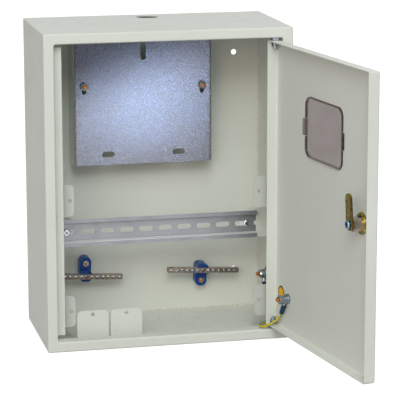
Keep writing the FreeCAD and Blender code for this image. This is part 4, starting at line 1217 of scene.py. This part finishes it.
# Painted shade: near-black for screw drives and for the sloping rims of the sunk screws.
RECESS_SHADE = Plastic(name="recess_shade", light=(0.030, 0.030, 0.032), deep=(0.015, 0.015, 0.018), roughness=(0.5, 0.7))
BLUE = Plastic(name="insulator_blue", light=(0.002, 0.080, 0.31), deep=(0.013, 0.011, 0.175), shine=0.3)
SLEEVE = Plastic(
    name="sleeve_navy", light=(0.001, 0.045, 0.115), deep=(0.001, 0.030, 0.085), roughness=(0.4, 0.55)
)
PANE = SmokePane()
WIRE = StripedWire()
DISC = Plastic(
    name="disc_yellow",
    light=(0.96, 0.54, 0.005),
    deep=(0.90, 0.47, 0.004),
    roughness=(0.50, 0.65),
    shine=0.12,
    mark_scale=300.0,
    bump=0.0,
)
DISC_BORDER = replace(DISC, name="disc_border", light=(0.09, 0.035, 0.01), deep=(0.06, 0.02, 0.008))

NODE_FINISHES: Tuple[Tuple[Finish, Tuple[str, ...]], ...] = (
    (POWDER, ("cabinet_shell", "cabinet_top", "cabinet_bottom", "bottom_tab_one", "bottom_tab_two")),
    (POWDER, ("left_rail_bracket", "right_rail_bracket", "door_pan")),
    (SHADED_TAB_COAT, ("upper_left_tab", "lower_left_tab", "upper_right_tab", "lower_right_tab")),
    (RAIL_ZINC, ("mounting_rail",)),
    (ZINC_SHEET, ("meter_plate",)),
    (BLUE, ("left_insulator", "right_insulator")),
    (BRASS, ("left_bar", "right_bar")),
    (SLEEVE, ("wall_earth_sleeve", "door_earth_sleeve")),
    (PANE, ("window_pane",)),
    (NICKEL, ("lock_body", "lock_plug")),
    (YELLOW_ZINC, ("lock_nut", "lock_cam")),
    (WIRE, ("earth_wire",)),
)


@dataclass
class CadSkin:
    """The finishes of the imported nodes."""

    nodes: Dict[str, Piece]
    paint: Paint

    def dress(self) -> None:
        """Give every node its material, plain zinc where none is named."""
        named = {name: finish for finish, names in NODE_FINISHES for name in names}
        for name, node in self.nodes.items():
            finish = named.get(name, ZINC)
            material = self.paint.of(finish)
            if node.data.materials:
                for index in range(len(node.data.materials)):
                    node.data.materials[index] = material
            else:
                node.data.materials.append(material)
            LOG.info("node %s takes %s", name, finish.name)


@dataclass
class Fasteners:
    """The nuts, studs and screws with their threads and drives."""

    paint: Paint
    door: DoorFrame
    back: float = -1.0
    plate_front: float = -37.0
    plate_spots: Tuple[Pair, ...] = ((-84.25, 112.4), (69.25, 109.6))
    plate_stud: Stud = Stud(radius=2.5, length=45.0)
    plate_nut: Nut = Nut(flats=9.0, thick=5.0, bore=2.45)
    bars: Pair = (-82.0, 73.5)
    bar_z: float = -139.0
    bar_front: float = -28.0
    bar_pitch: float = 7.1
    bar_side_count: int = 6
    bar_lean: float = 3.0
    bar_screw: GrubScrew = GrubScrew(radius=2.4, long=3.2, sunk=0.7)
    bar_screw_turn: float = 47.0
    bar_fixing: Screw = Screw(head=2.5, thick=2.0, shank=1.6, long=10.6)
    bar_fixing_sunk: float = 4.4
    insulator_top: float = -15.0
    insulator_stud_off: float = 15.5
    insulator_stud: Stud = Stud(radius=2.0, length=20.0, pitch=0.7)
    insulator_nut: Nut = Nut(flats=7.0, thick=3.2, bore=1.95)
    rail_screw_x: float = 117.0
    rail_z: float = -65.0
    rail_web: float = -83.5
    rail_screw: Screw = Screw(head=4.5, thick=2.8, shank=2.0, long=9.0)
    wall_stud: Stud = Stud(radius=3.0, length=14.0, pitch=1.0)
    wall_nut: Nut = Nut(flats=10.0, thick=5.0, bore=2.9, start=5.0)
    door_earth: Pair = (33.0, -139.5)
    door_stud: Stud = Stud(radius=3.0, length=16.8, pitch=1.0)
    door_nut: Nut = Nut(flats=10.0, thick=5.0, bore=2.9, start=8.6)
    hinge_nut: Nut = Nut(flats=8.0, thick=4.5, bore=2.45)
    hinge_nut_seat: float = 178.2
    lock: Pair = (237.0, 0.0)
    lock_nut: Nut = Nut(flats=24.0, thick=3.5, bore=9.0)
    cam_face: float = 12.5
    cam_screw: Screw = Screw(head=5.2, thick=3.0, shank=2.0, long=6.0)

    def build(self) -> None:
        """Model every fastener and let it stand for its node."""
        self._plate_and_insulators()
        self._rail_and_bars()
        self._earth()
        self._lock()
        seats = (self.hinge_nut_seat - self.hinge_nut.thick, -self.hinge_nut_seat)
        both = Workshop.join([replace(self.hinge_nut, start=seat).build() for seat in seats])
        self._set(both, [self.door.matrix()], "hinge_nuts", ZINC, Body.DOOR)

    def _plate_and_insulators(self) -> None:
        """Model the studs and nuts of the meter plate and of the insulators."""
        lean = math.radians(self.bar_lean)
        aside, above = self.insulator_stud_off * math.sin(lean), self.insulator_stud_off * math.cos(lean)
        feet = [(x + side * aside, self.bar_z + side * above) for x, side in zip(self.bars, (1, -1))]
        rows = (
            ("plate", self.plate_spots, self.plate_front, self.plate_stud, self.plate_nut, NUT_ZINC),
            ("insulator", feet, self.insulator_top, self.insulator_stud, self.insulator_nut, ZINC),
        )
        for name, spots, front, stud, nut, finish in rows:
            roots = [Face.BACK.spot(x, self.back, z) for x, z in spots]
            self._set(stud.build(), roots, name + "_studs", COPPER)
            seats = [Face.BACK.spot(x, front, z) for x, z in spots]
            self._set(nut.build(), seats, name + "_nuts", finish)

    def _rail_and_bars(self) -> None:
        """Model the screws of the rail and of the bars."""
        lean = math.radians(self.bar_lean)
        recess_shade = self.paint.of(RECESS_SHADE)
        bright = self.paint.of(SCREW_ZINC)
        rail = [Face.BACK.spot(side * self.rail_screw_x, self.rail_web, self.rail_z) for side in (-1, 1)]
        self._set(self.rail_screw.build(bright, recess_shade), rail, "rail_screws", SCREW_ZINC)
        steps = [step for step in range(-self.bar_side_count, self.bar_side_count + 1) if step]
        for side, x in zip(("left", "right"), self.bars):
            row = []
            for step in steps:
                run = step * self.bar_pitch
                spot = (x + run * math.cos(lean), self.bar_front, self.bar_z - run * math.sin(lean))
                turn = Matrix.Rotation(math.radians(step * self.bar_screw_turn), 4, "Z")
                row.append(Face.BACK.spot(*spot) @ turn)
            self._set(self.bar_screw.build(bright, recess_shade), row, side + "_bar_screws", SCREW_ZINC)
        sunk = [Face.BACK.spot(x, self.bar_front + self.bar_fixing_sunk, self.bar_z) for x in self.bars]
        self._set(self.bar_fixing.build(self.paint.of(ZINC), recess_shade), sunk, "bar_fixing_screws", ZINC)

    def _earth(self) -> None:
        """Model the earth studs and nuts on the wall and on the door."""
        on_wall = Face.RIGHT_WALL.spot(*WALL_EARTH)
        on_door = self.door.on_inside(*self.door_earth)
        rows = (
            ("wall", on_wall, Body.CABINET, self.wall_stud, self.wall_nut),
            ("door", on_door, Body.DOOR, self.door_stud, self.door_nut),
        )
        for where, spot, body, stud, nut in rows:
            self._set(stud.build(), [spot], where + "_earth_stud", COPPER, body)
            self._set(nut.build(), [spot], where + "_earth_nut", ZINC, body)

    def _lock(self) -> None:
        """Model the lock's nut and the cam's screw."""
        seat = self.door.on_inside(*self.lock)
        self._set(self.lock_nut.build(), [seat], "lock_nut", YELLOW_ZINC, Body.DOOR)
        lift = self.cam_face + self.door.pivot_face - self.door.sheet
        screw = self.cam_screw.build(self.paint.of(BLUE_ZINC), self.paint.of(RECESS_SHADE))
        self._set(screw, [self.door.on_inside(*self.lock, lift)], "cam_screw", BLUE_ZINC, Body.LOCK)

    def _set(
        self, piece: Piece, places: Sequence[Matrix], node: str, finish: Finish, body: Body = Body.CABINET
    ) -> None:
        """Set a fastener at its places in its node's stead.

        Args:
            piece: The fastener along Z.
            places: Where each copy goes.
            node: The node that it stands for.
            finish: Its finish.
            body: The body that carries it.
        """
        made = Workshop.copies(piece, places)
        Workshop.finish(made, node + "_detailed", self.paint.of(finish), body)
        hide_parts(node)


@dataclass
class EarthWire:
    """The bonding wire between the wall and the door, swept along a fixed route that curves past the hinge.
    """

    paint: Paint
    radius: float = 1.5
    route: Tuple[Triple, ...] = (
        (150.2, -50.64, -157.27),
        (150.2, -55.89, -173.43),
        (148.5, -88.0, -180.0),
        (143.0, -112.0, -185.0),
        (131.0, -138.0, -183.0),
        (115.5, -151.5, -181.6),
        (119.0, -164.2, -181.8),
        (128.5, -171.5, -175.0),
        (137.78, -175.04, -167.21),
        (139.08, -183.44, -152.49),
    )
    bend_from: Triple = (122.0, -97.0, -185.0)
    bend_to: Triple = (111.0, -170.0, -162.0)
    sides: int = 20
    order: int = 3
    resolution: int = 12
    smooth: float = 50.0

    @staticmethod
    def _spline(name: str, kind: str, points: Sequence[Sequence[float]]) -> Tuple[Piece, bpy.types.Spline]:
        """Make a curve of one open spline.

        Args:
            name: The curve's name.
            kind: The spline's type.
            points: Its points in metres.

        Returns:
            The curve and its spline.
        """
        curve = bpy.data.curves.new(name, "CURVE")
        curve.dimensions = "3D"
        spline = curve.splines.new(kind)
        spline.points.add(len(points) - 1)
        for point, place in zip(spline.points, points):
            point.co = (*place, 1.0)
        holder = bpy.data.objects.new(name, curve)
        bpy.context.scene.collection.objects.link(holder)
        return holder, spline

    def centre_line(self) -> List[Vector]:
        """Read the smooth line that the route's points control.

        Returns:
            Points along the line, in metres.
        """
        holder, spline = self._spline("wire_route", "NURBS", [metres(point) for point in self.route])
        spline.order_u = self.order
        spline.use_endpoint_u = True
        spline.resolution_u = self.resolution
        bpy.context.view_layer.update()
        mesh = bpy.data.meshes.new_from_object(holder)
        line = [vertex.co.copy() for vertex in mesh.vertices]
        bpy.data.objects.remove(holder)
        bpy.data.meshes.remove(mesh)
        return line

    def build(self) -> None:
        """Sweep the wire's round section along its line."""
        line = self.centre_line()
        tube, _ = self._spline("earth_wire_tube", "POLY", line)
        tube.data.bevel_depth = self.radius * MM
        tube.data.bevel_resolution = self.sides // 4 - 1
        tube.data.use_fill_caps = True
        Workshop.only(tube)
        bpy.ops.object.convert(target="MESH")
        tube = bpy.context.object
        self._mark_around(tube, line)
        tube.data.materials.append(self.paint.of(WIRE))
        bpy.ops.object.shade_smooth_by_angle(angle=math.radians(self.smooth))
        tube.name = "earth_wire_striped"
        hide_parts("earth_wire")
        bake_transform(tube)

    @staticmethod
    def _mark_around(tube: Piece, line: Sequence[Vector]) -> None:
        """Store how far round the wire each point is, for the stripe.

        Args:
            tube: The wire's mesh.
            line: Its centre line.
        """
        up = Vector((0.0, 0.0, 1.0))
        values = []
        for vertex in tube.data.vertices:
            index = min(range(len(line)), key=lambda i: (line[i] - vertex.co).length_squared)
            ahead = line[min(index + 1, len(line) - 1)] - line[max(index - 1, 0)]
            side = ahead.cross(up).normalized()
            high = side.cross(ahead).normalized()
            off = vertex.co - line[index]
            values.append(abs(math.atan2(off.dot(side), off.dot(high))) / math.pi)
        layer = tube.data.attributes.new("around", "FLOAT", "POINT")
        layer.data.foreach_set("value", values)


@dataclass
class EarthDiscs:
    """Plain round markers beside the earth studs."""

    paint: Paint
    door: DoorFrame
    radius: float = 9.0
    border: float = 1.9
    thick: float = 0.25
    sides: int = 64
    wall_hole: float = 6.7
    punch: float = 1.0
    door_spot: Pair = (11.5, -137.0)

    def build(self) -> None:
        """Model both discs."""
        rows = (
            ("wall", self.wall_hole, Face.RIGHT_WALL.spot(*WALL_EARTH), Body.CABINET),
            ("door", 0.0, self.door.on_inside(*self.door_spot), Body.DOOR),
        )
        for where, hole, spot, body in rows:
            disc = Workshop.copies(self._disc(hole), [spot])
            Workshop.finish(disc, where + "_earth_disc", self.paint.of(DISC), body)

    def _disc(self, hole: float) -> Piece:
        """Model one disc along Z.

        Args:
            hole: The radius of the hole in it, or nought.

        Returns:
            The disc with its border's material.
        """
        disc = Workshop.cylinder(self.radius, 0.0, self.thick, self.sides)
        Workshop.coat(disc, (self.paint.of(DISC), self.paint.of(DISC_BORDER)), 1)
        Workshop.only(disc)
        top = max(disc.data.polygons, key=lambda face: face.center.z + face.normal.z)
        bpy.context.tool_settings.mesh_select_mode = (False, False, True)
        for item in [*disc.data.vertices, *disc.data.edges, *disc.data.polygons]:
            item.select = False
        top.select = True
        bpy.ops.object.mode_set(mode="EDIT")
        bpy.ops.mesh.inset(thickness=self.border * MM, depth=0.0)
        bpy.ops.object.mode_set(mode="OBJECT")
        for face in disc.data.polygons:
            if face.select:
                face.material_index = 0
        if hole:
            Workshop.combine(disc, Workshop.cylinder(hole, -self.punch, self.punch, self.sides))
        return disc


@dataclass(frozen=True)
class Lamp:
    """A soft square light or, with a cone's angle in degrees, a small spot with a soft edge."""

    name: str
    place: Triple
    size: float
    power: float
    tint: Triple
    aim: Triple = (0.0, -0.15, 0.0)
    cone: float = 0.0

    def hang(self) -> None:
        """Hang the lamp and point it."""
        Workshop.clear()
        bpy.ops.object.light_add(type="SPOT" if self.cone else "AREA", location=self.place)
        lamp = bpy.context.object
        lamp.name = "light_" + self.name
        lamp.data.energy = self.power
        lamp.data.color = self.tint
        if self.cone:
            lamp.data.spot_size = math.radians(self.cone)
            lamp.data.spot_blend = 1.0
            lamp.data.shadow_soft_size = self.size
        else:
            lamp.data.size = self.size
        lamp.rotation_euler = (Vector(self.aim) - Vector(self.place)).to_track_quat("-Z", "Y").to_euler()


@dataclass
class Studio:
    """The floor, the lights and the camera, in metres, watts and radians."""

    paint: Paint
    floor_z: float = -0.1976
    floor_size: float = 40.0
    eye: Triple = (-0.5244, -2.5842, 0.5235)
    yaw: float = 0.228
    pitch: float = 0.213
    roll: float = -0.001
    lens: float = 185.45
    sensor: float = 36.0
    clip: Pair = (0.1, 100.0)
    room_tint: Triple = (0.95, 0.975, 1.0)
    room_light: float = 0.395
    lamps: Tuple[Lamp, ...] = (
        Lamp("key", (-0.5, -2.8, 1.6), 0.7, 17.5, (0.88, 1.0, 1.0)),
        Lamp("high", (-0.4, -2.4, 2.3), 1.0, 19.5, (0.88, 1.0, 1.0)),
        Lamp("fill", (-1.6, -2.8, 1.0), 1.4, 23.0, (1.0, 0.87, 0.77)),
        Lamp("right", (0.6, -2.7, 1.6), 0.7, 5.0, (1.0, 0.97, 0.90)),
        Lamp("back", (2.0, 2.6, 0.45), 1.4, 35.0, (1.0, 0.98, 0.95), aim=(0.0, -0.1, 0.0)),
        Lamp("top", (0.0, 0.0, 2.6), 1.6, 2.5, (1.0, 0.95, 0.85)),
        Lamp(
            "plate_glow",
            (0.266, -1.45, -0.196),
            0.09,
            15.0,
            (0.50, 0.69, 1.0),
            aim=(-0.008, -0.037, 0.074),
            cone=10.0,
        ),
    )

    def build(self) -> None:
        """Set up the studio."""
        self._floor()
        self._world()
        for lamp in self.lamps:
            lamp.hang()
        self._camera()

    def _floor(self) -> None:
        """Lay the floor."""
        Workshop.clear()
        bpy.ops.mesh.primitive_plane_add(size=self.floor_size, location=(0.0, 0.0, self.floor_z))
        floor = bpy.context.object
        floor.name = "studio_floor"
        floor.data.materials.append(self.paint.of(Floor()))

    def _world(self) -> None:
        """Light the room softly, and show it white to the camera and in reflections."""
        world = bpy.data.worlds.new("studio")
        bpy.context.scene.world = world
        world.use_nodes = True
        world.node_tree.nodes.clear()
        tree = Tree(world.node_tree)
        room = tree.add("Background", {"Color": self.room_tint, "Strength": self.room_light}).outputs[0]
        white = tree.add("Background", {"Color": WHITE, "Strength": 1.0}).outputs[0]
        mix = tree.add("MixShader", {0: tree.seen_white(), 1: room, 2: white})
        tree.add("OutputWorld", {"Surface": mix.outputs[0]})

    def _camera(self) -> None:
        """Set the camera at the photograph's view."""
        Workshop.clear()
        bpy.ops.object.camera_add(location=self.eye)
        camera = bpy.context.object
        camera.name = "camera"
        turn = Matrix.Rotation(-self.yaw, 4, "Z") @ Matrix.Rotation(math.pi / 2 - self.pitch, 4, "X")
        turn = turn @ Matrix.Rotation(self.roll, 4, "Z")
        camera.rotation_euler = turn.to_euler()
        camera.data.sensor_width = self.sensor
        camera.data.lens = self.lens
        camera.data.clip_start, camera.data.clip_end = self.clip
        bpy.context.scene.camera = camera
        bpy.context.scene.view_settings.view_transform = "Standard"


def main() -> None:
    """Dress the model, build the pieces and set the studio."""
    logging.basicConfig(level=logging.INFO, format="%(message)s")
    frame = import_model()
    paint = Paint()
    door = DoorFrame()
    CadSkin(frame["nodes"], paint).dress()
    Fasteners(paint, door).build()
    EarthWire(paint).build()
    EarthDiscs(paint, door).build()
    Studio(paint).build()


if __name__ == "__main__":
    main()
